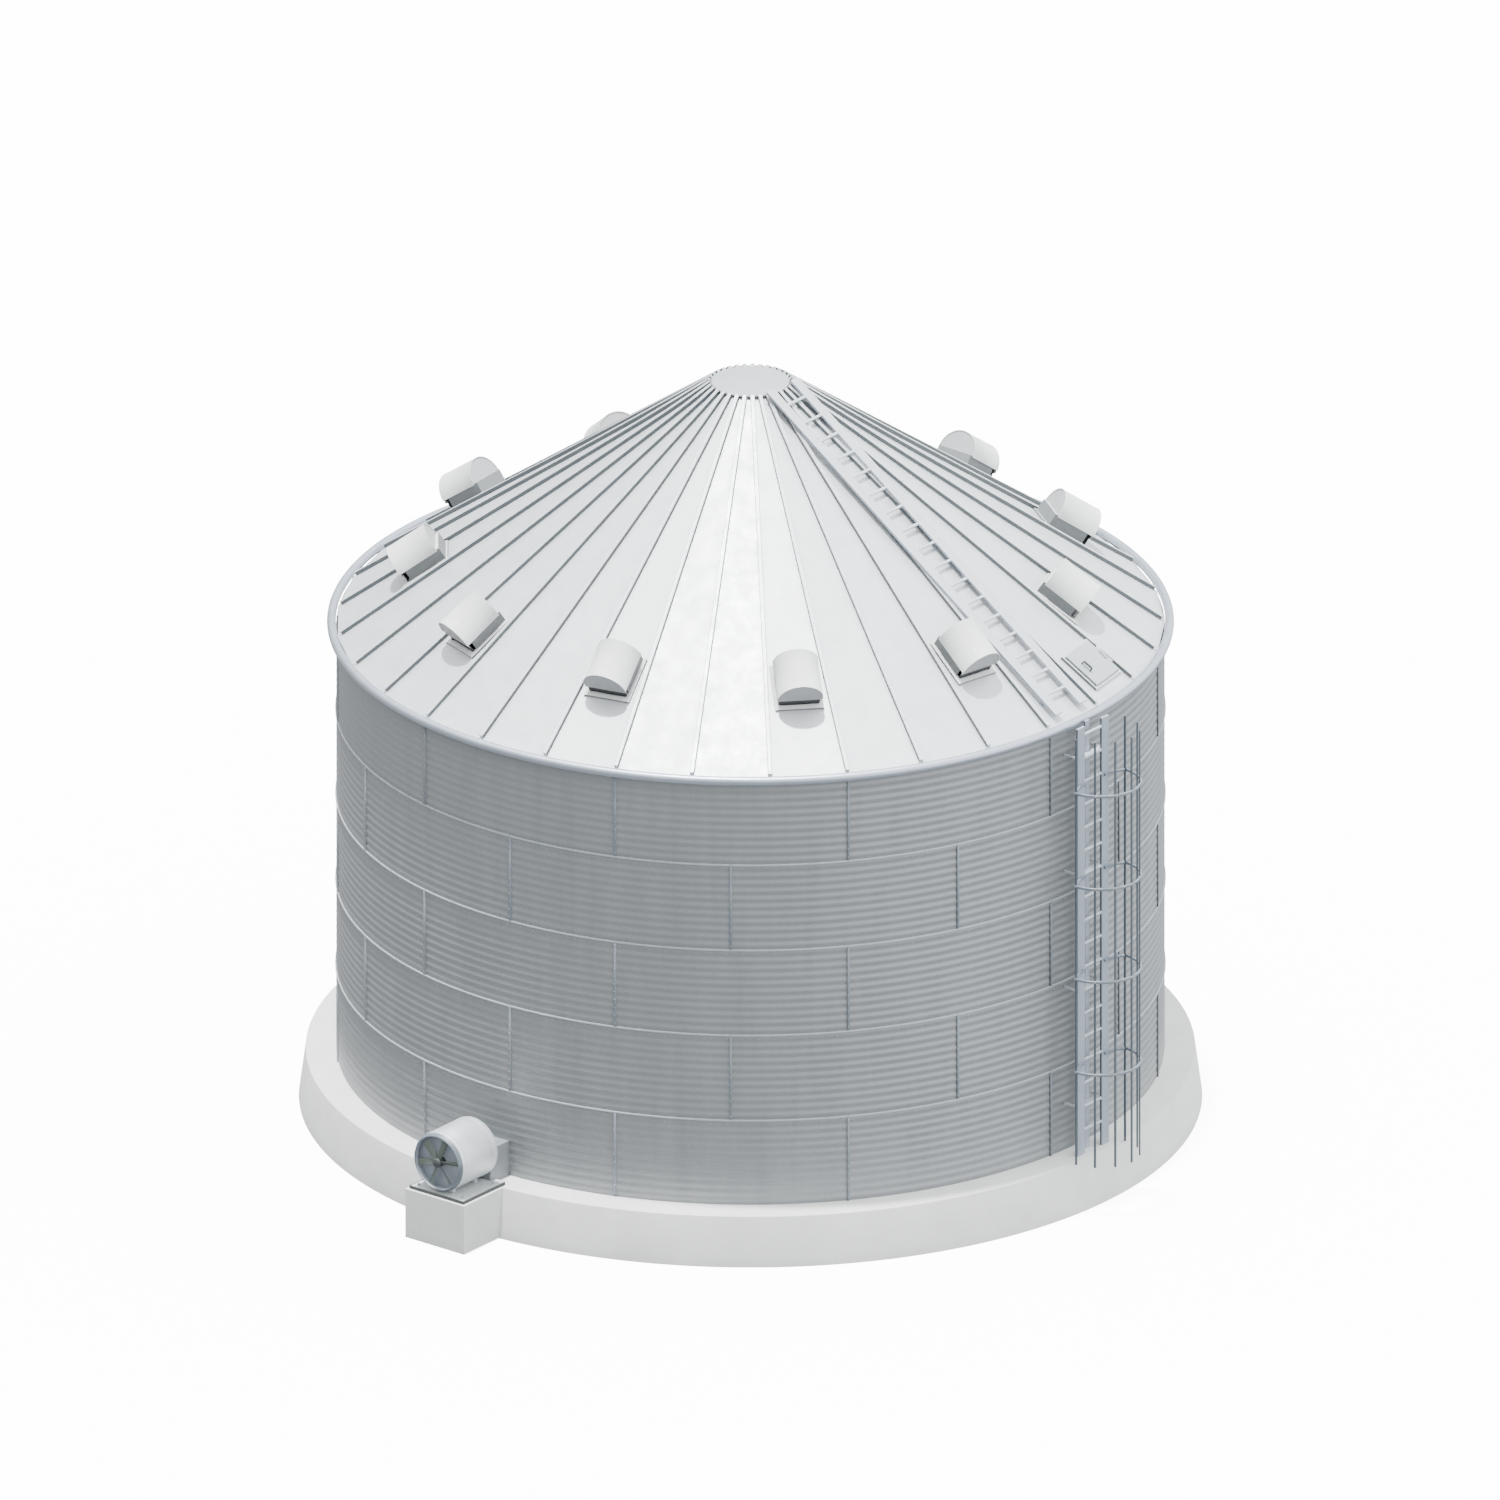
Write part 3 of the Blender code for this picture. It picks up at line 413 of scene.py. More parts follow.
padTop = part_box("foundation_pad")[1].z
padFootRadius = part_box("foundation_pad")[1].y  # the frame's box is a little narrower this way
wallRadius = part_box("wall_ring_5")[1].x
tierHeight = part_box("wall_ring_1")[1].z - padTop
eaveLow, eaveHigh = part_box("eave_ring")
eaveHeight = (eaveLow.z + eaveHigh.z) / 2
roofSlope = math.radians(34.64)
panelSlope = math.atan(math.tan(roofSlope) / math.cos(pitch / 2))
roofEdgeHeight = eaveHeight - 0.015
columnTurns = np.arange(setOut["columns"]) * 2 * np.pi / setOut["columns"]


def panelHeight(distance):
    apothem = wallRadius * math.cos(pitch / 2)
    return roofEdgeHeight + (apothem - distance) * math.tan(roofSlope) / math.cos(pitch / 2)


def ribLineHeight(distance):
    return roofEdgeHeight + (wallRadius - distance) * math.tan(roofSlope)


def panelPlace(panel, distance, across=0.0):
    # origin and axes on a panel's middle line, at a distance from the bin's axis
    bearing = (panel + 0.75) * pitch
    axes = slopeAxes(bearing, panelSlope)
    origin = np.array((distance * math.sin(bearing), -distance * math.cos(bearing), panelHeight(distance)))
    return origin + across * axes[1], axes


# Concrete

pad = {"topRadius": 5.40, "arris": 0.012, "middle": 0.5, "columns": 264}


def makePad():
    # the side leans in from the foot to the top, where a small arris is taken off
    top, foot, arris = pad["topRadius"], padFootRadius, pad["arris"]
    profile = [(foot, 0), (top, padTop - arris), (top - 0.3 * arris, padTop - 0.3 * arris)]
    profile += [(top - arris, padTop), (pad["middle"], padTop)]
    disc = lathe(profile, pad["columns"])
    makePiece("foundation_disc", disc, concrete, "bin", ["foundation_pad"])
    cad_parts["fan_plinth"].data.materials.clear()
    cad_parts["fan_plinth"].data.materials.append(concrete)


makePad()
print("concrete made")


# Corrugated wall

wall = {
    "waves": 11, "stepsAWave": 8, "waveDepth": 0.008, "gauge": 0.004, "seamWidth": 0.026, "seamLift": 0.014,
    "seamBack": 0.015, "seamBearings": (math.radians(13.64), math.radians(-2.73)), "belowRoof": 0.02,
    "boltEdge": 0.03,
}
sheetBolt = {"radius": 0.009, "height": 0.006}
fan = {"bearing": math.radians(-38.65), "ductHalf": 0.24, "ductTop": 1.07}


def waveRadius(height):
    # the crests touch the wall's radius, and a cosine of the height goes in to the troughs and back
    phase = 2 * np.pi * wall["waves"] * (np.asarray(height) - padTop) / tierHeight
    return wallRadius - wall["waveDepth"] * (1 + np.cos(phase)) / 2


def sheetRing(low, high, bearings, closed):
    # outer face up and inner face down, one gauge apart, turned round the bin's axis
    count = max(2, round((high - low) / tierHeight * wall["waves"] * wall["stepsAWave"])) + 1
    z = np.linspace(low, high, count)
    r = waveRadius(z)
    profile = np.stack((np.concatenate((r, r[::-1] - wall["gauge"])), np.concatenate((z, z[::-1]))), -1)
    return turnedLoop(profile, bearings, closed)


def seamStrip(low, high, bearing):
    # a narrow flat strip that stands on the crests of the waves
    half, face = wall["seamWidth"] / 2, -wallRadius - wall["seamLift"]
    strip = slab((-half, half), (face, wall["seamBack"] - wallRadius), (low, high), 0.002, 0.001)
    return placed(strip, (0, 0, 0), uprightAxes(bearing))


def makeWall():
    turns = np.arange(setOut["sheets"]) * 2 * np.pi / setOut["sheets"]
    boltPlaces, boltAxes = [], []
    for tier in range(setOut["tiers"]):
        low = padTop + tier * tierHeight + 0.0005
        high = min(padTop + (tier + 1) * tierHeight, roofEdgeHeight - wall["belowRoof"])
        if tier == 0:
            half = math.asin(fan["ductHalf"] / wallRadius)
            start, end = fan["bearing"] + half, fan["bearing"] - half + 2 * math.pi
            aroundDuct = np.linspace(start, end, setOut["columns"])
            lower = sheetRing(low, fan["ductTop"], aroundDuct, False)
            upper = sheetRing(fan["ductTop"], high, columnTurns, True)
            sheet = merged([lower, upper])
        else:
            sheet = sheetRing(low, high, columnTurns, True)
        node = f"wall_ring_{tier + 1}"
        makePiece(f"corrugated_ring_{tier + 1}", sheet, finishes["wallSteel"], "bin", [node])
        bearings = turns + wall["seamBearings"][tier % 2]
        strips = [seamStrip(low, high, b) for b in bearings]
        # Each strip's left side is painted shade in a dark grey and its right side painted light in a light
        # grey
        sides = slabPaint(left=1, right=2)
        tones = [finishes["seamSteel"], finishes["paintedShadeSteel"], finishes["lapAndLitSideSteel"]]
        paint = picked(strips, [sides] * len(strips))
        name = f"seam_strips_{tier + 1}"
        makePiece(name, merged(strips), tones, "bin", paint=paint, sharpAngle=50)
        crests = padTop + (tier + (np.arange(wall["waves"]) + 0.5) / wall["waves"]) * tierHeight
        b, z = [grid.ravel() for grid in np.meshgrid(bearings, crests[crests < high - wall["boltEdge"]])]
        outward = np.stack((np.sin(b), -np.cos(b), 0 * b), -1)
        boltPlaces.append(outward * (wallRadius + wall["seamLift"]) + np.stack((0 * z, 0 * z, z), -1))
        boltAxes.append(outward)
    bolts = boltHeads(np.concatenate(boltPlaces), np.concatenate(boltAxes), **sheetBolt)
    makePiece("seam_bolts", bolts, finishes["boltSteel"], "bin")


lap = {
    "height": 0.022, "proud": 0.013, "sunk": 0.02, "round": 0.004, "drop": 0.010, "bolts": 165,
    "boltTurn": 0.02,
}


def makeLaps():
    # a rounded band over each joint between two rings, with a row of bolts under its edge
    places, axes = [], []
    for tier in range(1, setOut["tiers"]):
        z = padTop + tier * tierHeight - lap["drop"]
        outline = roundedOutline(lap["proud"] + lap["sunk"], lap["height"], lap["round"])
        outline += (wallRadius + (lap["proud"] - lap["sunk"]) / 2, z)
        band = turnedLoop(outline, columnTurns, True)
        makePiece(f"lap_band_{tier}", band, finishes["lapAndLitSideSteel"], "bin")
        b = np.arange(lap["bolts"]) * 2 * np.pi / lap["bolts"] + lap["boltTurn"]
        outward = np.stack((np.sin(b), -np.cos(b), 0 * b), -1)
        height = z - 0.5 * tierHeight / wall["waves"]
        places.append(outward * waveRadius(height) + (0, 0, height))
        axes.append(outward)
    bolts = boltHeads(np.concatenate(places), np.concatenate(axes), **sheetBolt)
    makePiece("lap_bolts", bolts, finishes["boltSteel"], "bin")


eave = {"sides": 24, "columns": 264, "frameSides": 8, "gap": 0.0003}


def makeEave():
    # a round tube: a circle turned about the bin's axis, as wide as the frame's
    radius = (eaveHigh.z - eaveLow.z) / 2 / math.cos(math.pi / eave["frameSides"])
    centre = wallRadius + eave["gap"] + radius
    turn = np.arange(eave["sides"]) * 2 * np.pi / eave["sides"]
    circle = np.stack((centre + radius * np.cos(turn), eaveHeight + radius * np.sin(turn)), -1)
    bearings = np.arange(eave["columns"]) * 2 * np.pi / eave["columns"]
    tube = turnedLoop(circle, bearings)
    makePiece("eave_tube", tube, finishes["eaveSteel"], "bin", ["eave_ring"])


makeWall()
makeLaps()
makeEave()
print("wall made")


# Roof

roof = {"topRadius": 0.475, "gauge": 0.006, "ventDistance": 3.93, "ventHole": 0.21, "holeReach": 0.85}
rib = {
    "width": 0.05, "height": 0.052, "fold": 0.006, "sunk": 0.005, "foot": 4.975, "screwGap": 0.42,
    "screwSpan": (0.7, 4.9),
}
roofScrew = {"radius": 0.007, "height": 0.005}
hatch = {
    "panel": 5, "distance": 4.606, "across": 0.06, "long": 0.585, "wide": 0.65, "curb": 0.035, "wall": 0.05,
}
cap = {
    "rise": 0.025, "crown": 0.004, "middle": 0.05, "sheet": 0.012, "gap": 0.0006, "collar": 0.05,
    "collarDepth": 0.03, "edge": 0.006, "columns": 66, "shadeGap": 0.004, "shadeWide": 0.038,
    "shadeDeep": 0.012, "shadeHigh": 0.034, "shadeSunk": 0.003,
}


def panelSheet(panel, hole):
    # a grid down the slope and across: the side lines are the ribs' lines, the inner ones the hole's
    # sides, which close in near the top; the cell over the hole is left out and walled round
    slopeCos = math.cos(panelSlope)
    first, last = (roof["topRadius"] + 0.0005) / slopeCos, wallRadius * math.cos(pitch / 2) / slopeCos
    spread = slopeCos * math.tan(pitch / 2)
    a, low, high = np.array((first, last)), None, None
    if hole is not None:
        centre, across, half, wide = hole
        low, high = across - wide, across + wide
        start, end = centre / slopeCos - half, centre / slopeCos + half
        a = np.array((first, max(abs(low), abs(high)) / spread / roof["holeReach"], start, end, last))
        a.sort()
    edge = a * spread
    lines = [-edge, edge]
    if hole is not None:
        limit = roof["holeReach"] * edge
        lines = [-edge, np.clip(low, -limit, limit), np.clip(high, -limit, limit), edge]
    t = np.stack(lines, -1)
    rows, cols = t.shape
    upper = np.stack((np.broadcast_to(a[:, None], t.shape), t, np.zeros(t.shape)), -1).reshape(-1, 3)
    points = np.concatenate((upper, upper - (0, 0, roof["gauge"])))
    i, j = [grid.ravel() for grid in np.meshgrid(np.arange(rows - 1), np.arange(cols - 1), indexing="ij")]
    keep = np.ones(len(i), bool)
    if hole is not None:
        keep = ~((np.isclose(a[i], start)) & (j == 1))
    cells = np.stack((i * cols + j, (i + 1) * cols + j, (i + 1) * cols + j + 1, i * cols + j + 1), -1)[keep]
    edges = np.concatenate([cells[:, (k, (k + 1) % 4)] for k in range(4)])
    back = {tuple(edge) for edge in edges[:, ::-1].tolist()}
    rim = np.array([edge for edge in edges.tolist() if tuple(edge) not in back])
    lower = rows * cols
    walls = np.stack((rim[:, 0], rim[:, 0] + lower, rim[:, 1] + lower, rim[:, 1]), -1)
    quads = np.concatenate((cells, cells[:, ::-1] + lower, walls))
    bearing = (panel + 0.75) * pitch
    return placed((points, quads, []), (0, 0, panelHeight(0)), slopeAxes(bearing, panelSlope))


def ribBar(k):
    # a folded rib: its top corners are drawn in by the fold, and it runs straight from the cap to its foot
    half, top, fold, sunk = rib["width"] / 2, rib["height"], rib["fold"], rib["sunk"]
    left = ((-half, -sunk), (-half, top - fold), (fold - half, top))
    right = ((half - fold, top), (half, top - fold), (half, -sunk))
    outline = np.array(left + right)
    start = (roof["topRadius"] + 0.001 - rib["foot"]) / math.cos(roofSlope)
    rings = np.zeros((2, 6, 3))
    rings[:, :, 0] = ((start,), (0,))
    rings[:, :, 1:] = outline
    bearing = (k + 0.25) * pitch
    origin = (rib["foot"] * math.sin(bearing), -rib["foot"] * math.cos(bearing), ribLineHeight(rib["foot"]))
    return placed(loft(rings), origin, slopeAxes(bearing, roofSlope))


def makeRoof():
    ventHole = (roof["ventDistance"], 0.0, roof["ventHole"], roof["ventHole"])
    halfLong, halfWide = hatch["long"] / 2 - hatch["wall"], hatch["wide"] / 2 - hatch["wall"]
    hatchHole = (hatch["distance"], hatch["across"], halfLong, halfWide)
    for segment in range(setOut["sheets"]):
        panels = range(3 * segment, 3 * segment + 3)
        holes = {3 * segment: ventHole, hatch["panel"]: hatchHole}
        sheets = merged([panelSheet(panel, holes.get(panel)) for panel in panels])
        tag = f"{segment + 1:02d}"
        node = f"roof_segment_{tag}"
        makePiece(f"roof_sheets_{tag}", sheets, finishes["roofSteel"], "bin", [node])
        bars = merged([ribBar(panel) for panel in panels])
        # Both sides of each rib are painted shade in a dark grey; its top keeps the roof's tone
        paint = np.tile((1, 0, 0, 0, 1, 0), 3)
        tones = [finishes["roofSteel"], finishes["paintedShadeSteel"]]
        makePiece(f"roof_ribs_{tag}", bars, tones, "bin", paint=paint, sharpAngle=20)
    reach = np.arange(*rib["screwSpan"], rib["screwGap"])
    b, d = [grid.ravel() for grid in np.meshgrid((np.arange(setOut["panels"]) + 0.25) * pitch, reach)]
    rise, run = math.cos(roofSlope), math.sin(roofSlope)
    outward = np.stack((run * np.sin(b), -run * np.cos(b), rise + 0 * b), -1)
    foot = np.stack((d * np.sin(b), -d * np.cos(b), ribLineHeight(d)), -1)
    screws = boltHeads(foot + rib["height"] * outward, outward, **roofScrew)
    makePiece("roof_screws", screws, finishes["boltSteel"], "bin")


def makeCap():
    # the disc's edge is rounded a little, and under it a collar spreads out below the sheets
    top, collar, edge = roof["topRadius"], roof["topRadius"] + cap["collar"], cap["edge"]
    high = ribLineHeight(top) + cap["rise"]
    seat = cap["sheet"] / math.cos(roofSlope) + cap["gap"]
    profile = [
        (collar, ribLineHeight(collar) - seat - cap["collarDepth"]), (collar, ribLineHeight(collar) - seat),
        (top, ribLineHeight(top) - seat), (top, high - edge), (top - 0.3 * edge, high - 0.3 * edge),
        (top - edge, high), (cap["middle"], high + cap["crown"]),
    ]
    disc = lathe(profile, cap["columns"])
    makePiece("peak_disc", disc, finishes["capSteel"], "bin", ["peak_cap"])
    # Between the ribs a near-black strip stands on each sheet along the disc's rim: painted shade, for the
    # sheets in shade under the disc's edge
    half, shadeStrips = cap["shadeWide"] / 2, []
    levels = (-cap["shadeSunk"], cap["shadeHigh"])
    strip = slab((0, cap["shadeDeep"]), (-half, half), levels, 0.001, 0.001)
    for panel in range(setOut["panels"]):
        origin, axes = panelPlace(panel, top + cap["shadeGap"])
        shadeStrips.append(placed(strip, origin, axes))
    makePiece("cap_painted_shade", merged(shadeStrips), finishes["darkSteelAndShade"], "bin")


makeRoof()
makeCap()
print("roof made")


# Roof vents

vent = {
    "flangeLong": 0.65, "flangeWide": 0.60, "flangeTop": 0.03, "curbBack": -0.303, "curbFront": 0.25,
    "curbHalf": 0.254, "curbTop": 0.19, "hoodBack": -0.272, "hoodFront": 0.28, "hoodRadius": 0.28,
    "hoodHeight": 0.173, "skirt": 0.125, "slot": 0.205, "gauge": 0.004, "bead": 0.003, "beadWide": 0.010,
    "fade": 0.005, "endInset": 0.014, "lap": 0.02, "sunk": 0.01, "shelfGap": 0.005, "rim": 0.06,
    "arcSteps": 28,
}


def archPoints(radius):
    turn = np.linspace(0, np.pi, vent["arcSteps"] + 1)
    return np.stack((radius * np.cos(turn), vent["hoodHeight"] + radius * np.sin(turn)), -1)


def endPlate(place, base):
    # a half disc over straight sides down to its base, one gauge thick
    radius = vent["hoodRadius"] - vent["gauge"]
    outline = np.concatenate((archPoints(radius), ((-radius, base), (radius, base))))
    rings = np.empty((2, len(outline), 3))
    rings[:, :, 0] = ((place,), (place + vent["gauge"],))
    rings[:, :, 1:] = outline
    return loft(rings)


def ventShape():
    gauge, half, bead = vent["gauge"], vent["curbHalf"], vent["bead"]
    back, front, low = vent["curbBack"], vent["curbFront"], vent["flangeTop"]
    long, wide = vent["flangeLong"] / 2, vent["flangeWide"] / 2
    # The hood: an arch of two faces, a bead standing out round both its ends
    steps = np.array((0, vent["beadWide"], vent["beadWide"] + vent["fade"]))
    along = np.concatenate((vent["hoodBack"] + steps, vent["hoodFront"] - steps[::-1]))
    swell = np.array((1, 1, 0, 0, 1, 1)) * bead
    turned = archPoints(1.0) - (0, vent["hoodHeight"])
    radius = vent["hoodRadius"] - bead + swell[:, None, None]
    arch = np.concatenate((turned * radius, turned[::-1] * (radius - gauge)), 1) + (0, vent["hoodHeight"])
    rings = np.concatenate((np.broadcast_to(along[:, None, None], (6, arch.shape[1], 1)), arch), -1)
    hood = loft(rings)
    inset = vent["rim"] / 2
    rim = [(long - inset, inset - wide), (long - inset, wide - inset)]
    rim += [(inset - long, wide - inset), (inset - long, inset - wide)]
    curb = [(vent["slot"], -half), (back, -half), (back, half), (vent["slot"], half)]
    under, roofBack = vent["hoodHeight"] - gauge, vent["hoodBack"] + vent["lap"]
    shelf = (roofBack, vent["hoodFront"] - vent["lap"])
    ledge = (half - vent["sunk"], vent["hoodRadius"] - vent["shelfGap"])
    foot, inward = low - vent["sunk"], vent["endInset"]
    sheet = {"corner": 0.001, "edge": 0.001}
    parts = [
        hood,
        endPlate(vent["hoodBack"] + inward, vent["hoodHeight"]),
        endPlate(vent["hoodFront"] - inward - gauge, vent["skirt"]),
        strapWall(curb, gauge, foot, vent["curbTop"]),
        slab((front - gauge, front), (-half, half), (foot, vent["curbTop"]), **sheet),
        slab((back, roofBack), (-half, half), (vent["curbTop"] - gauge, vent["curbTop"]), **sheet),
        slab(shelf, ledge, (under, vent["hoodHeight"]), **sheet),
        slab(shelf, (-ledge[1], -ledge[0]), (under, vent["hoodHeight"]), **sheet),
        strapWall(rim, vent["rim"], 0.0005, low, True),
    ]
    # The hood's end plates are painted shade in a mid grey, and the curb's walls, the shelves under the hood
    # and the flange's upright sides in a darker grey; the curb's front, where the opening under the skirt
    # lies in shade, is painted shade in near-black
    rimSides = np.tile((2, 0, 2, 0), len(rim))
    return merged(parts), picked(parts, [0, 1, 1, 2, 3, 0, 2, 2, rimSides])


def makeVents():
    shape, paint = ventShape()
    tones = [finishes[name] for name in ("ventSteel", "ventEndShadeSteel", "curbShadeSteel", "darkSteelAndShade")]
    for segment in range(setOut["sheets"]):
        origin, axes = panelPlace(3 * segment, roof["ventDistance"])
        tag = f"{segment + 1:02d}"
        body = placed(shape, origin, axes)
        makePiece(f"vent_hood_{tag}", body, tones, "bin", [f"vent_{tag}"], paint=paint)


makeVents()
print("vents made")


# Roof hatch

lid = {
    "inset": 0.03, "thick": 0.025, "handleLong": 0.135, "handleSide": 0.17, "handleRise": 0.045,
    "handleThick": 0.014, "handleWide": 0.034, "handleBend": 0.018, "handleSunk": 0.01,
}
hinge = {
    "radius": 0.014, "rise": 0.019, "out": 0.013, "lidLong": 0.14, "curbLong": 0.06, "space": 0.002,
    "post": 0.009, "leaf": 0.006, "leafLap": 0.05,
}


def tubeSides(radius, sides=16):
    turn = np.arange(sides) * 2 * np.pi / sides
    return np.stack((radius * np.cos(turn), radius * np.sin(turn)), -1)


def makeHatch():
    origin, axes = panelPlace(hatch["panel"], hatch["distance"], hatch["across"])
    long, wide, top = hatch["long"] / 2, hatch["wide"] / 2, hatch["curb"]
    middle = hatch["wall"] / 2
    ring = [(long - middle, middle - wide), (long - middle, wide - middle)]
    ring += [(middle - long, wide - middle), (middle - long, middle - wide)]
    hingeAcross, hingeHeight = wide - hinge["out"], top + hinge["rise"]
    start = hinge["lidLong"] / 2 + hinge["space"]
    curbParts = [strapWall(ring, hatch["wall"], 0.0005, top, True)]
    for side in (-1, 1):
        ends = sorted((side * start, side * (start + hinge["curbLong"])))
        path = [(end, hingeAcross, hingeHeight) for end in ends]
        curbParts.append(sweep(tubeSides(hinge["radius"]), path, (0, 0, 1)))
        post = (hingeAcross - hinge["post"], hingeAcross + hinge["post"])
        curbParts.append(slab(ends, post, (top / 2, hingeHeight)))
    curb = placed(merged(curbParts), origin, axes)
    ringSides = np.zeros(16, int)
    # That face is painted shade in a dark grey
    ringSides[14] = 1  # the outer face of the run nearest the ladder
    paint = picked(curbParts, [ringSides] + [0] * (len(curbParts) - 1))
    tones = [finishes["roofSteel"], finishes["paintedShadeSteel"]]
    makePiece("hatch_frame", curb, tones, "bin", ["hatch_curb"], paint=paint)

    # The lid is a shallow pan; its handle is a flat strap bent down at both ends
    low, high = top + 0.0005, top + lid["thick"]
    reach, rise, side = lid["handleLong"] / 2, lid["handleRise"], -lid["handleSide"]
    bend, corner = np.linspace(np.pi / 2, 0, 6), lid["handleBend"]
    legAcross, legUp = -reach + corner * (1 - np.sin(bend)), high + rise - corner * (1 - np.cos(bend))
    half = np.concatenate((((-reach, high - lid["handleSunk"]),), np.stack((legAcross, legUp), -1)))
    path = np.concatenate((half, half[::-1] * (-1, 1)))
    path = np.stack((path[:, 0], np.full(len(path), side), path[:, 1]), -1)
    barrel = [(end, hingeAcross, hingeHeight) for end in (-hinge["lidLong"] / 2, hinge["lidLong"] / 2)]
    inset = lid["inset"]
    leafAcross = (wide - inset - hinge["leafLap"], hingeAcross)
    leafLevels = (hingeHeight - hinge["leaf"], hingeHeight + hinge["leaf"])
    lidParts = [
        slab((inset - long, long - inset), (inset - wide, wide - inset), (low, high), 0.008, 0.004),
        sweep(roundedOutline(lid["handleThick"], lid["handleWide"], 0.004), path, (0, 1, 0)),
        sweep(tubeSides(hinge["radius"]), barrel, (0, 0, 1)),
        slab((-hinge["lidLong"] / 2, hinge["lidLong"] / 2), leafAcross, leafLevels),
    ]
    cover = placed(merged(lidParts), origin, axes)
    # The lid's side toward the ladder is painted shade in a dark grey, and its down-slope side in a mid grey
    paint = picked(lidParts, [slabPaint(front=1, right=3), 2, 0, 0])
    tones = [finishes[name] for name in ("capSteel", "paintedShadeSteel", "gripPaint", "curbShadeSteel")]
    makePiece("hatch_cover", cover, tones, "hatch_lid", ["hatch_lid"], paint=paint)


makeHatch()
print("hatch made")


# Ladders and cage

ladder = {
    "panel": 4, "rungGap": 0.3048, "railWide": 0.14, "railThick": 0.034, "railSide": 0.235, "rungHigh": 0.036,
    "rungThick": 0.028, "rungReach": 0.205,
}
roofLadder = {
    "top": 0.44, "foot": 4.905, "rise": 0.062, "rungs": 17, "first": 0.658, "feet": (3.10, 3.90, 4.70),
    "footWide": 0.05, "footTall": 0.06,
}
wallLadder = {
    "face": 5.296, "top": 6.25, "rungs": 18, "first": 0.955, "backWide": 0.08, "backFace": 5.202,
    "backDeep": 0.03, "brackets": (1, 6, 11, 16), "bracket": 0.026, "arm": 0.02, "wallGap": 0.004,
    "sunk": 0.006, "seat": 0.008,
}
cage = {
    "centre": 5.405, "radius": 0.49, "bars": 7, "barWide": 0.028, "barDeep": 0.018, "barLet": 0.011,
    "foot": 0.62, "top": 6.21, "hoops": (1.84, 3.06, 4.28, 5.50), "hoopWide": 0.035, "hoopThick": 0.025,
    "gap": 0.0003, "legInner": 0.20, "legOuter": 0.29,
}
ladderBearing = (ladder["panel"] + 0.75) * pitch


def ladderParts(front, ends, places):
    # two flat rails and rounded rungs between them, drawn standing up, with their faces at y = front
    inner = ladder["railSide"] - ladder["railWide"] / 2
    outer = inner + ladder["railWide"]
    back = front + ladder["railThick"]
    middle = front + ladder["railThick"] / 2
    parts = [slab(side, (front, back), ends, 0.005, 0.003) for side in ((-outer, -inner), (inner, outer))]
    outline = roundedOutline(ladder["rungThick"], ladder["rungHigh"], 0.009)
    reach = ladder["rungReach"]
    parts += [sweep(outline, ((-reach, middle, z), (reach, middle, z)), (0, 0, 1)) for z in places]
    return parts


def makeRoofLadder():
    slopeCos = math.cos(panelSlope)
    foot = roofLadder["foot"]
    length = (foot - roofLadder["top"]) / slopeCos
    front = -roofLadder["rise"] - ladder["railThick"]
    first = (foot - roofLadder["first"]) / slopeCos
    parts = ladderParts(front, (0, length), first - np.arange(roofLadder["rungs"]) * ladder["rungGap"])
    halfWide, halfTall = roofLadder["footWide"] / 2, roofLadder["footTall"] / 2
    deep = (front + ladder["railThick"] / 2, -0.0005)
    for distance in roofLadder["feet"]:
        place = (foot - distance) / slopeCos
        for side in (-ladder["railSide"], ladder["railSide"]):
            across = (side - halfWide, side + halfWide)
            parts.append(slab(across, deep, (place - halfTall, place + halfTall)))
    origin, axes = panelPlace(ladder["panel"], foot)
    laid = np.array((axes[1], -axes[2], -axes[0]))
    shape = placed(merged(parts), origin, laid)
    # The rails' sides are painted shade in a darker grey than their faces
    paint = picked(parts, [slabPaint(left=1, right=1)] * 2 + [0] * (len(parts) - 2))
    tones = [finishes["roofLadderAndLitSteel"], finishes["ladderAndShadeSteel"]]
    makePiece("roof_ladder_rails", shape, tones, "bin", ["roof_ladder"], paint=paint)


def makeWallLadder():
    front, foot = -wallLadder["face"], padTop + 0.0005
    places = wallLadder["first"] + np.arange(wallLadder["rungs"]) * ladder["rungGap"]
    parts = ladderParts(front, (foot, wallLadder["top"]), places)
    half, backFace = wallLadder["backWide"] / 2, -wallLadder["backFace"]
    deep = (backFace, backFace + wallLadder["backDeep"])
    parts.append(slab((-half, half), deep, (foot, wallLadder["top"])))
    behind, arm = front + ladder["railThick"] - wallLadder["sunk"], wallLadder["arm"] / 2
    toBar = (behind, backFace + wallLadder["seat"])
    toWall = (behind, wallLadder["wallGap"] - wallRadius)
    for k in wallLadder["brackets"]:
        low, high = places[k] - wallLadder["bracket"] / 2, places[k] + wallLadder["bracket"] / 2
        parts.append(slab((-ladder["railSide"], ladder["railSide"]), toBar, (low, high)))
        for side in (-ladder["railSide"], ladder["railSide"]):
            parts.append(slab((side - arm, side + arm), toWall, (low, high)))
    shape = placed(merged(parts), (0, 0, 0), uprightAxes(ladderBearing))
    # The rails' and back bar's sides are painted shade in a dark grey; the rungs and brackets are painted
    # light in a lighter grey than the rails
    rail = slabPaint(left=1, right=1)
    flats = [rail] * 2 + [2] * wallLadder["rungs"] + [rail]
    paint = picked(parts, flats + [2] * (len(parts) - len(flats)))
    tones = [finishes[name] for name in ("ladderAndShadeSteel", "railShadeSteel", "roofLadderAndLitSteel")]
    makePiece("wall_ladder_rails", shape, tones, "bin", ["wall_ladder"], paint=paint)


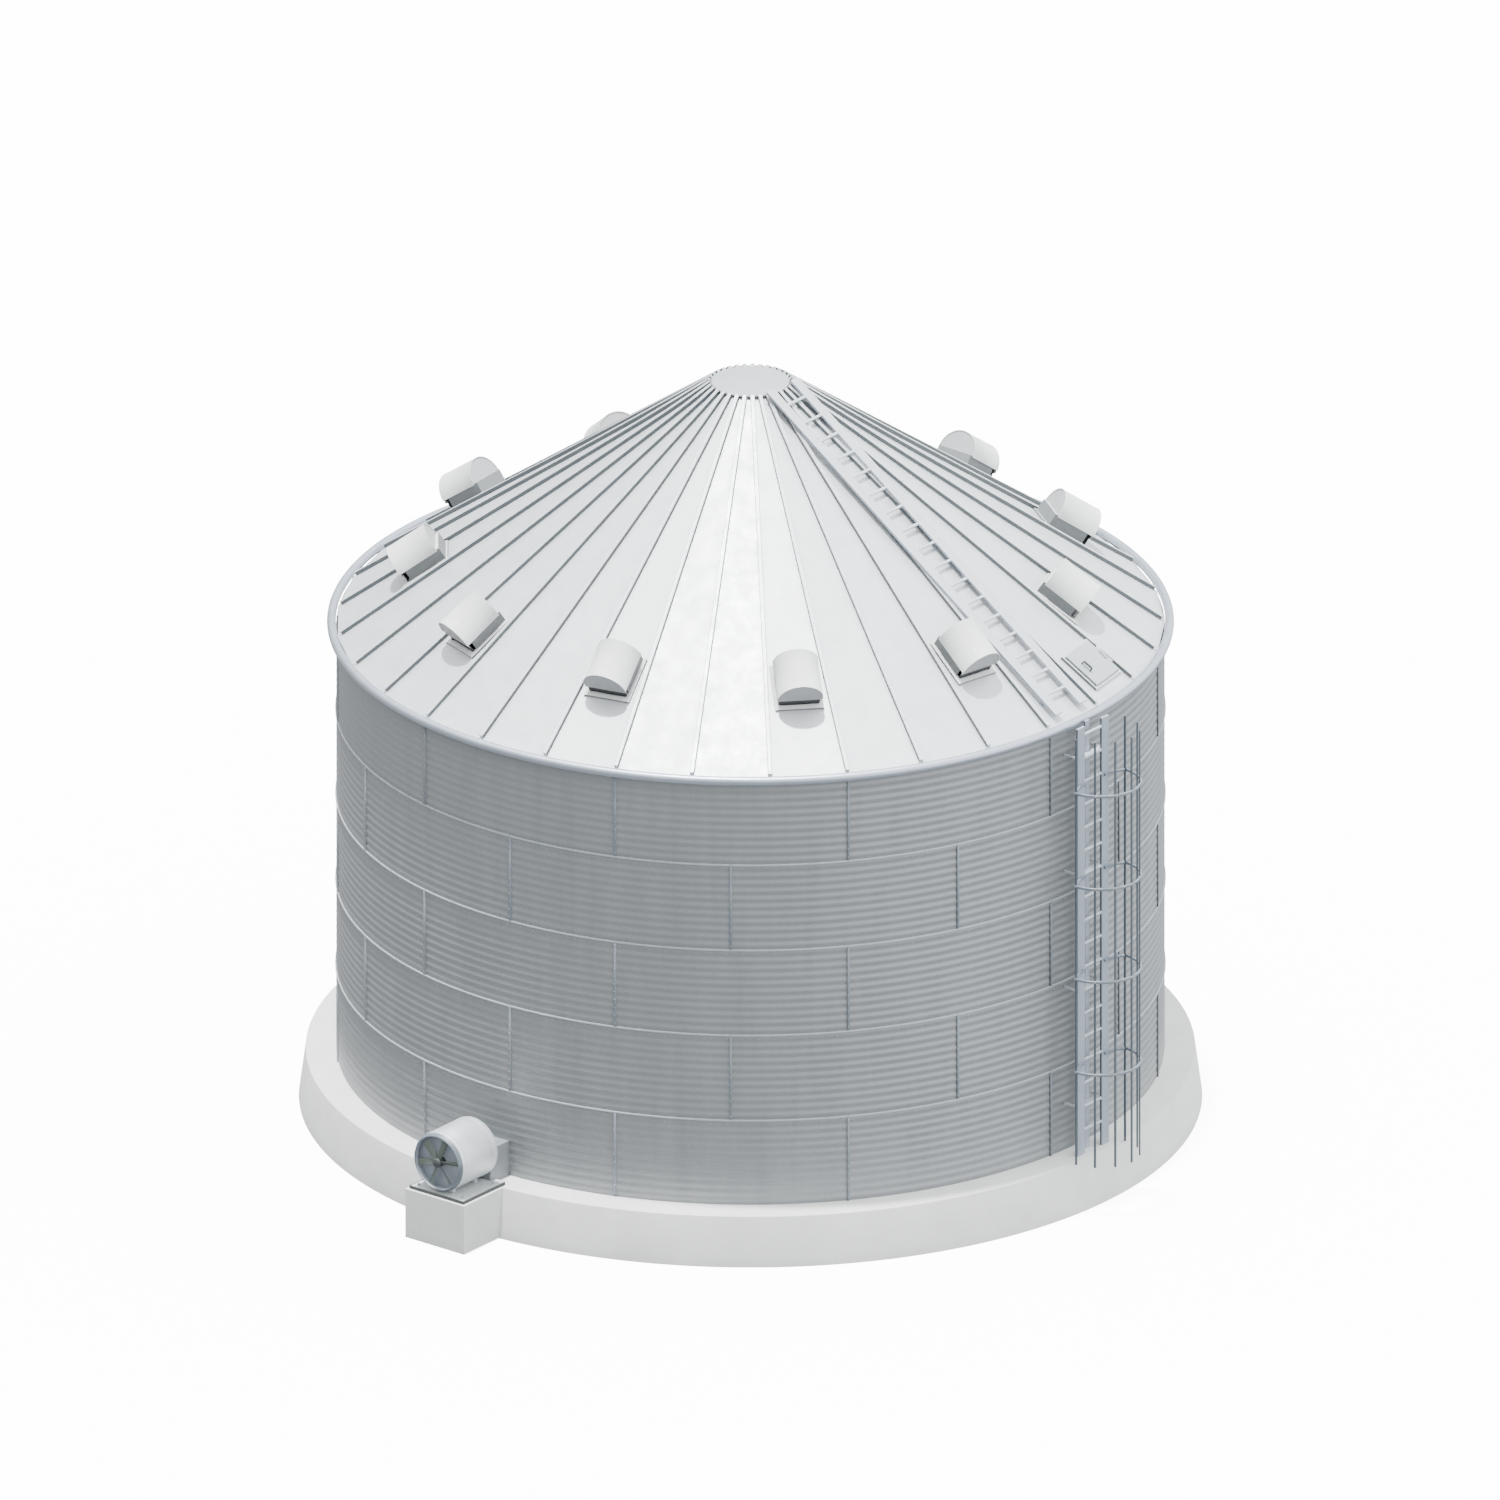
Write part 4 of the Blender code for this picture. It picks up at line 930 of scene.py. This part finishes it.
def makeCage():
    # a hoop's path is two bent legs and a half circle: x = R cos u, y = -(centre + R sin u)
    radius, centre = cage["radius"], cage["centre"]
    leg = wallLadder["face"] + cage["gap"] + cage["hoopThick"] / 2
    turn = np.linspace(0, np.pi, 41)
    bow = np.stack((radius * np.cos(turn), -centre - radius * np.sin(turn)), -1)
    near = np.array(((cage["legInner"], -leg), (cage["legOuter"], -leg)))
    flat = np.concatenate((near, bow, near[::-1] * (-1, 1)))
    path = np.concatenate((flat, np.zeros((len(flat), 1))), 1)
    outline = roundedOutline(cage["hoopThick"], cage["hoopWide"], 0.006)
    hoop = sweep(outline, path, (0, 0, 1))
    parts = [(hoop[0] + (0, 0, height), hoop[1], hoop[2]) for height in cage["hoops"]]
    halfWide, halfDeep = cage["barWide"] / 2, cage["barDeep"] / 2
    middle, ends = radius - cage["hoopThick"] / 2 - halfDeep + cage["barLet"], (cage["foot"], cage["top"])
    bar = slab((-halfWide, halfWide), (-middle - halfDeep, halfDeep - middle), ends, 0.004, 0.003)
    turns = np.pi * (np.arange(cage["bars"]) / (cage["bars"] - 1) - 0.5)
    for angle in turns:
        parts.append(placed(bar, (0, -centre, 0), uprightAxes(angle)))
    axes = uprightAxes(ladderBearing)
    shape = placed(merged(parts), (0, 0, 0), axes)
    paint = picked(parts, [0] * len(cage["hoops"]) + [1] * cage["bars"])
    tones = [finishes["hoopSteel"], finishes["barSteel"]]
    makePiece("cage_hoops_and_bars", shape, tones, "bin", ["ladder_cage"], paint=paint)
    t, z = [grid.ravel() for grid in np.meshgrid(turns, cage["hoops"])]
    outward = np.stack((np.sin(t), -np.cos(t), 0 * t), -1)
    places = outward * (radius + cage["hoopThick"] / 2) + np.stack((0 * t, -centre + 0 * t, z), -1)
    bolts = boltHeads(places @ axes, outward @ axes, **sheetBolt)
    makePiece("cage_bolts", bolts, finishes["boltSteel"], "bin")


makeRoofLadder()
makeWallLadder()
makeCage()
print("ladders and cage made")


# Aeration fan

drum = {
    "radius": 0.375, "gauge": 0.012, "face": 6.06, "back": 5.38, "mouthFace": 6.10, "mouthRadius": 0.345,
    "height": 1.075, "columns": 96, "bands": (5.44, 5.98), "bandHalf": 0.012, "bandProud": 0.003,
    "feet": (5.52, 5.94), "footHalf": 0.15, "footDeep": 0.025, "footTop": 0.75,
}
motor = {
    "radius": 0.104, "fin": 0.006, "fins": 28, "face": 5.76,
    "levels": (5.395, 5.42, 5.425, 5.70, 5.705, 5.745, 5.758),
}
rotor = {
    "blades": 6, "turn": math.radians(-9), "tip": 0.305, "root": 0.035, "middle": 6.07, "hubRadius": 0.06,
    "hubBack": 6.02, "hubFace": 6.12, "dome": 0.025,
}
plate = {
    "half": 0.405, "back": 5.29, "face": 6.09, "thick": 0.04, "lip": 0.014, "nutAcross": 0.34,
    "nutsOut": (5.45, 6.02),
}
plateTop = padTop + 0.0003 + plate["thick"]
anchorNut = {"radius": 0.018, "height": 0.02}
backPlate = {"place": 5.975, "thick": 0.006, "hole": 0.05}
fanAxes = uprightAxes(fan["bearing"])
# A lathe's own axes in the fan's frame: its z points out along the fan's axis
latheAxes = np.array(((1, 0, 0), (0, 0, 1), (0, -1, 0))) @ fanAxes


def onFan(shape):
    return placed(shape, (0, 0, drum["height"]), latheAxes)


def drumRing(profile):
    return onFan(turnedLoop(profile, np.arange(drum["columns"]) * 2 * np.pi / drum["columns"]))


def makeHousing():
    radius, gauge, face, back = drum["radius"], drum["gauge"], drum["face"], drum["back"]
    mouth, mouthFace = drum["mouthRadius"], drum["mouthFace"]
    outer = [(0.02, back), (radius - 0.008, back), (radius - 0.002, back + 0.002), (radius, back + 0.008)]
    outer += [(radius, face - 0.01), (radius - 0.003, face)]
    outer += [(mouth + 0.003, mouthFace - 0.002), (mouth, mouthFace)]
    inner = [(mouth - 0.006, mouthFace), (mouth - 0.010, mouthFace - 0.006), (mouth - 0.010, face - 0.02)]
    inner += [(radius - gauge, face - 0.05), (radius - gauge, back + gauge), (0.02, back + gauge)]
    parts = [onFan(lathe(outer + inner, drum["columns"]))]
    # The barrel is bright, and dark from the ring round its mouth inwards
    rows = np.repeat([0] * 4 + [2] * 5 + [1] * (len(outer + inner) - 10), drum["columns"])
    half, deep, levels = drum["footHalf"], drum["footDeep"], (plateTop + 0.0005, drum["footTop"])
    for distance in drum["feet"]:
        foot = slab((-half, half), (-distance - deep, deep - distance), levels, 0.004, 0.003)
        parts.append(placed(foot, (0, 0, 0), fanAxes))
    half, outside = drum["bandHalf"], radius + drum["bandProud"]
    for distance in drum["bands"]:
        band = [(radius - 0.004, distance - half), (outside, distance - half + 0.002)]
        band += [(outside, distance + half - 0.002), (radius - 0.004, distance + half)]
        parts.append(drumRing(band))
    # A ring-shaped plate behind the blades carries the motor
    low, high = backPlate["place"], backPlate["place"] + backPlate["thick"]
    hole, rim = backPlate["hole"], radius - gauge / 2
    parts.append(drumRing(((hole, low), (rim, low), (rim, high), (hole, high))))
    tones = [finishes["drumSteel"], finishes["ringPaint"], finishes["motorPaint"]]
    paint = picked(parts, [rows] + [0] * (len(parts) - 2) + [1])
    makePiece("fan_drum", merged(parts), tones, "bin", ["fan_housing"], paint=paint)


def makeMotor():
    # the fins are a square wave round the motor's side: r = radius + fin where cos(fins x angle) > 0
    turn = np.arange(motor["fins"] * 6) * 2 * np.pi / (motor["fins"] * 6)
    fins = motor["radius"] + motor["fin"] * (np.cos(motor["fins"] * turn) > 0)
    smooth = np.full(len(turn), motor["radius"])
    levels = np.array(motor["levels"])
    r = np.stack((smooth, smooth, fins, fins, smooth, smooth, smooth * 0.8))
    rings = np.stack((r * np.cos(turn), r * np.sin(turn), np.broadcast_to(levels[:, None], r.shape)), -1)
    makePiece("fan_motor", onFan(loft(rings)), finishes["motorPaint"], "bin")


def bladeShape():
    # a lens section, its chord, pitch and thickness changing from the root to the tip
    s = np.linspace(0, 1, 9)[:, None]
    turn = np.arange(14) * 2 * np.pi / 14
    chord, thick = 0.062 + 0.026 * s, 0.010 - 0.005 * s
    pitchTurn = np.radians(40 - 14 * s)
    u, v = chord / 2 * np.cos(turn), thick / 2 * np.sin(turn) + 0.05 * chord * np.cos(turn) ** 2
    across, out = u * np.cos(pitchTurn) - v * np.sin(pitchTurn), u * np.sin(pitchTurn) + v * np.cos(pitchTurn)
    radial = np.broadcast_to(rotor["root"] + s * (rotor["tip"] - rotor["root"]), across.shape)
    return loft(np.stack((across, out, radial), -1))


def makeRotor():
    blade = bladeShape()
    parts = []
    for k in range(rotor["blades"]):
        angle = rotor["turn"] + (k + 0.5) * 2 * math.pi / rotor["blades"]
        c, s = math.cos(angle), math.sin(angle)
        swing = np.array(((c, 0, -s), (0, 1, 0), (s, 0, c)))
        parts.append(placed(blade, (0, -rotor["middle"], drum["height"]), swing))
    blades = placed(merged(parts), (0, 0, 0), fanAxes)
    makePiece("fan_blades", blades, finishes["bladePaint"], "fan_rotor", ["fan_rotor"])
    bulge = np.linspace(0, np.pi / 2 - 0.12, 7)
    r, low, high, dome = rotor["hubRadius"], rotor["hubBack"], rotor["hubFace"], rotor["dome"]
    nose = [(r * math.cos(a), high - dome + dome * math.sin(a)) for a in bulge]
    hub = [(0.025, motor["face"] + 0.004), (0.025, low), (r, low + 0.003), (r, high - 0.03), *nose]
    makePiece("fan_hub", onFan(lathe(hub, 48)), finishes["darkSteelAndShade"], "fan_rotor")


def makePlate():
    # a near-black strip over the plate's sides on three sides, and a nut near each of its corners
    lip = plate["lip"]
    side, front, back = plate["half"] + lip / 2, -plate["face"] - lip / 2, -plate["back"]
    edge = [(-side, back), (-side, front), (side, front), (side, back)]
    trim = strapWall(edge, lip + 0.002, padTop + 0.0005, plateTop - 0.001)
    trim = placed(trim, (0, 0, 0), fanAxes)
    makePiece("fan_plate_edge", trim, finishes["darkSteelAndShade"], "bin")
    across = plate["nutAcross"]
    spots = [(x, -d, plateTop) for x in (-across, across) for d in plate["nutsOut"]]
    nuts = boltHeads(np.array(spots) @ fanAxes, np.tile((0.0, 0.0, 1.0), (4, 1)), **anchorNut)
    makePiece("anchor_nuts", nuts, finishes["boltSteel"], "bin")
    for node, finish in (("fan_plate", "plateSteel"), ("fan_duct", "ductPaint")):
        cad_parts[node].data.materials.clear()
        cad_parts[node].data.materials.append(finishes[finish])


makeHousing()
makeMotor()
makeRotor()
makePlate()
print("fan made")


# Floor, light and camera

studio = {
    "floorSize": 160.0, "floorTone": 0.92, "floorGlow": 9.0, "sunPower": 10.4, "sunLean": 0.084,
    "sunSoftness": math.radians(2.5), "leftTone": (0.70, 0.73, 0.76), "rightTone": (4.0, 4.1, 4.2),
    "topTone": (4.1, 4.2, 4.25), "groundTone": (0.80, 0.83, 0.87),
}
view = {
    "pixelsAMetre": 82.4, "imageSide": 1500, "elevation": math.radians(22.5), "target": (-0.006, 0, 4.53),
    "far": 60,
}


def skyLight():
    # dim to the left and brighter to the right, brightest overhead and darkest below
    world = bpy.data.worlds.new("studioLight")
    world.use_nodes = True
    tree = world.node_tree
    where = tree.nodes.new("ShaderNodeTexCoord")
    split = tree.nodes.new("ShaderNodeSeparateXYZ")
    tree.links.new(where.outputs["Generated"], split.inputs["Vector"])

    def blend(axis, span, low, high):
        # from one tone to the other over a span of the direction's x or z; a tone may be a socket
        share = tree.nodes.new("ShaderNodeMapRange")
        share.inputs["From Min"].default_value, share.inputs["From Max"].default_value = span
        tree.links.new(split.outputs[axis], share.inputs["Value"])
        mix = tree.nodes.new("ShaderNodeMix")
        mix.data_type = "RGBA"
        tree.links.new(share.outputs["Result"], mix.inputs["Factor"])
        for letter, tone in (("A", low), ("B", high)):
            if isinstance(tone, tuple):
                mix.inputs[letter].default_value = (*tone, 1)
            else:
                tree.links.new(tone, mix.inputs[letter])
        return mix.outputs["Result"]

    level = blend("X", (-0.05, 0.85), studio["leftTone"], studio["rightTone"])
    upper = blend("Z", (0.2, 1.05), level, studio["topTone"])
    whole = blend("Z", (-0.3, 0.0), studio["groundTone"], upper)
    tree.links.new(whole, tree.nodes["Background"].inputs["Color"])
    return world


def makeStudio():
    half = studio["floorSize"] / 2
    mesh = bpy.data.meshes.new("studio_floor")
    corners = [(-half, -half, 0), (half, -half, 0), (half, half, 0), (-half, half, 0)]
    mesh.from_pydata(corners, [], [(0, 1, 2, 3)])
    floor = bpy.data.objects.new("studio_floor", mesh)
    bpy.context.scene.collection.objects.link(floor)
    material = bpy.data.materials.new("studioFloor")
    material.use_nodes = True
    tone = studio["floorTone"]
    shader = material.node_tree.nodes["Principled BSDF"]
    shader.inputs["Base Color"].default_value = (tone, tone, tone, 1)
    shader.inputs["Roughness"].default_value = 0.9
    shader.inputs["Emission Color"].default_value = (1, 1, 1, 1)
    shader.inputs["Emission Strength"].default_value = studio["floorGlow"]
    mesh.materials.append(material)
    floor.visible_diffuse = False  # it catches shadows and throws no light back
    floor.visible_glossy = False
    bpy.context.scene.world = skyLight()
    lamp = bpy.data.lights.new("topLight", "SUN")
    lamp.energy = studio["sunPower"]
    lamp.angle = studio["sunSoftness"]
    sun = bpy.data.objects.new("topLight", lamp)
    sun.rotation_euler = (0, -math.atan(studio["sunLean"]), 0)
    bpy.context.scene.collection.objects.link(sun)


def makeCamera():
    lens = bpy.data.cameras.new("viewCamera")
    lens.type = "ORTHO"
    lens.ortho_scale = view["imageSide"] / view["pixelsAMetre"]
    lens.clip_end = 200
    camera = bpy.data.objects.new("viewCamera", lens)
    x, y, z = view["target"]
    rise, run = math.sin(view["elevation"]), math.cos(view["elevation"])
    camera.location = (x, y - view["far"] * run, z + view["far"] * rise)
    camera.rotation_euler = (math.pi / 2 - view["elevation"], 0, 0)
    bpy.context.scene.collection.objects.link(camera)
    bpy.context.scene.camera = camera


makeStudio()
makeCamera()
print("studio made")
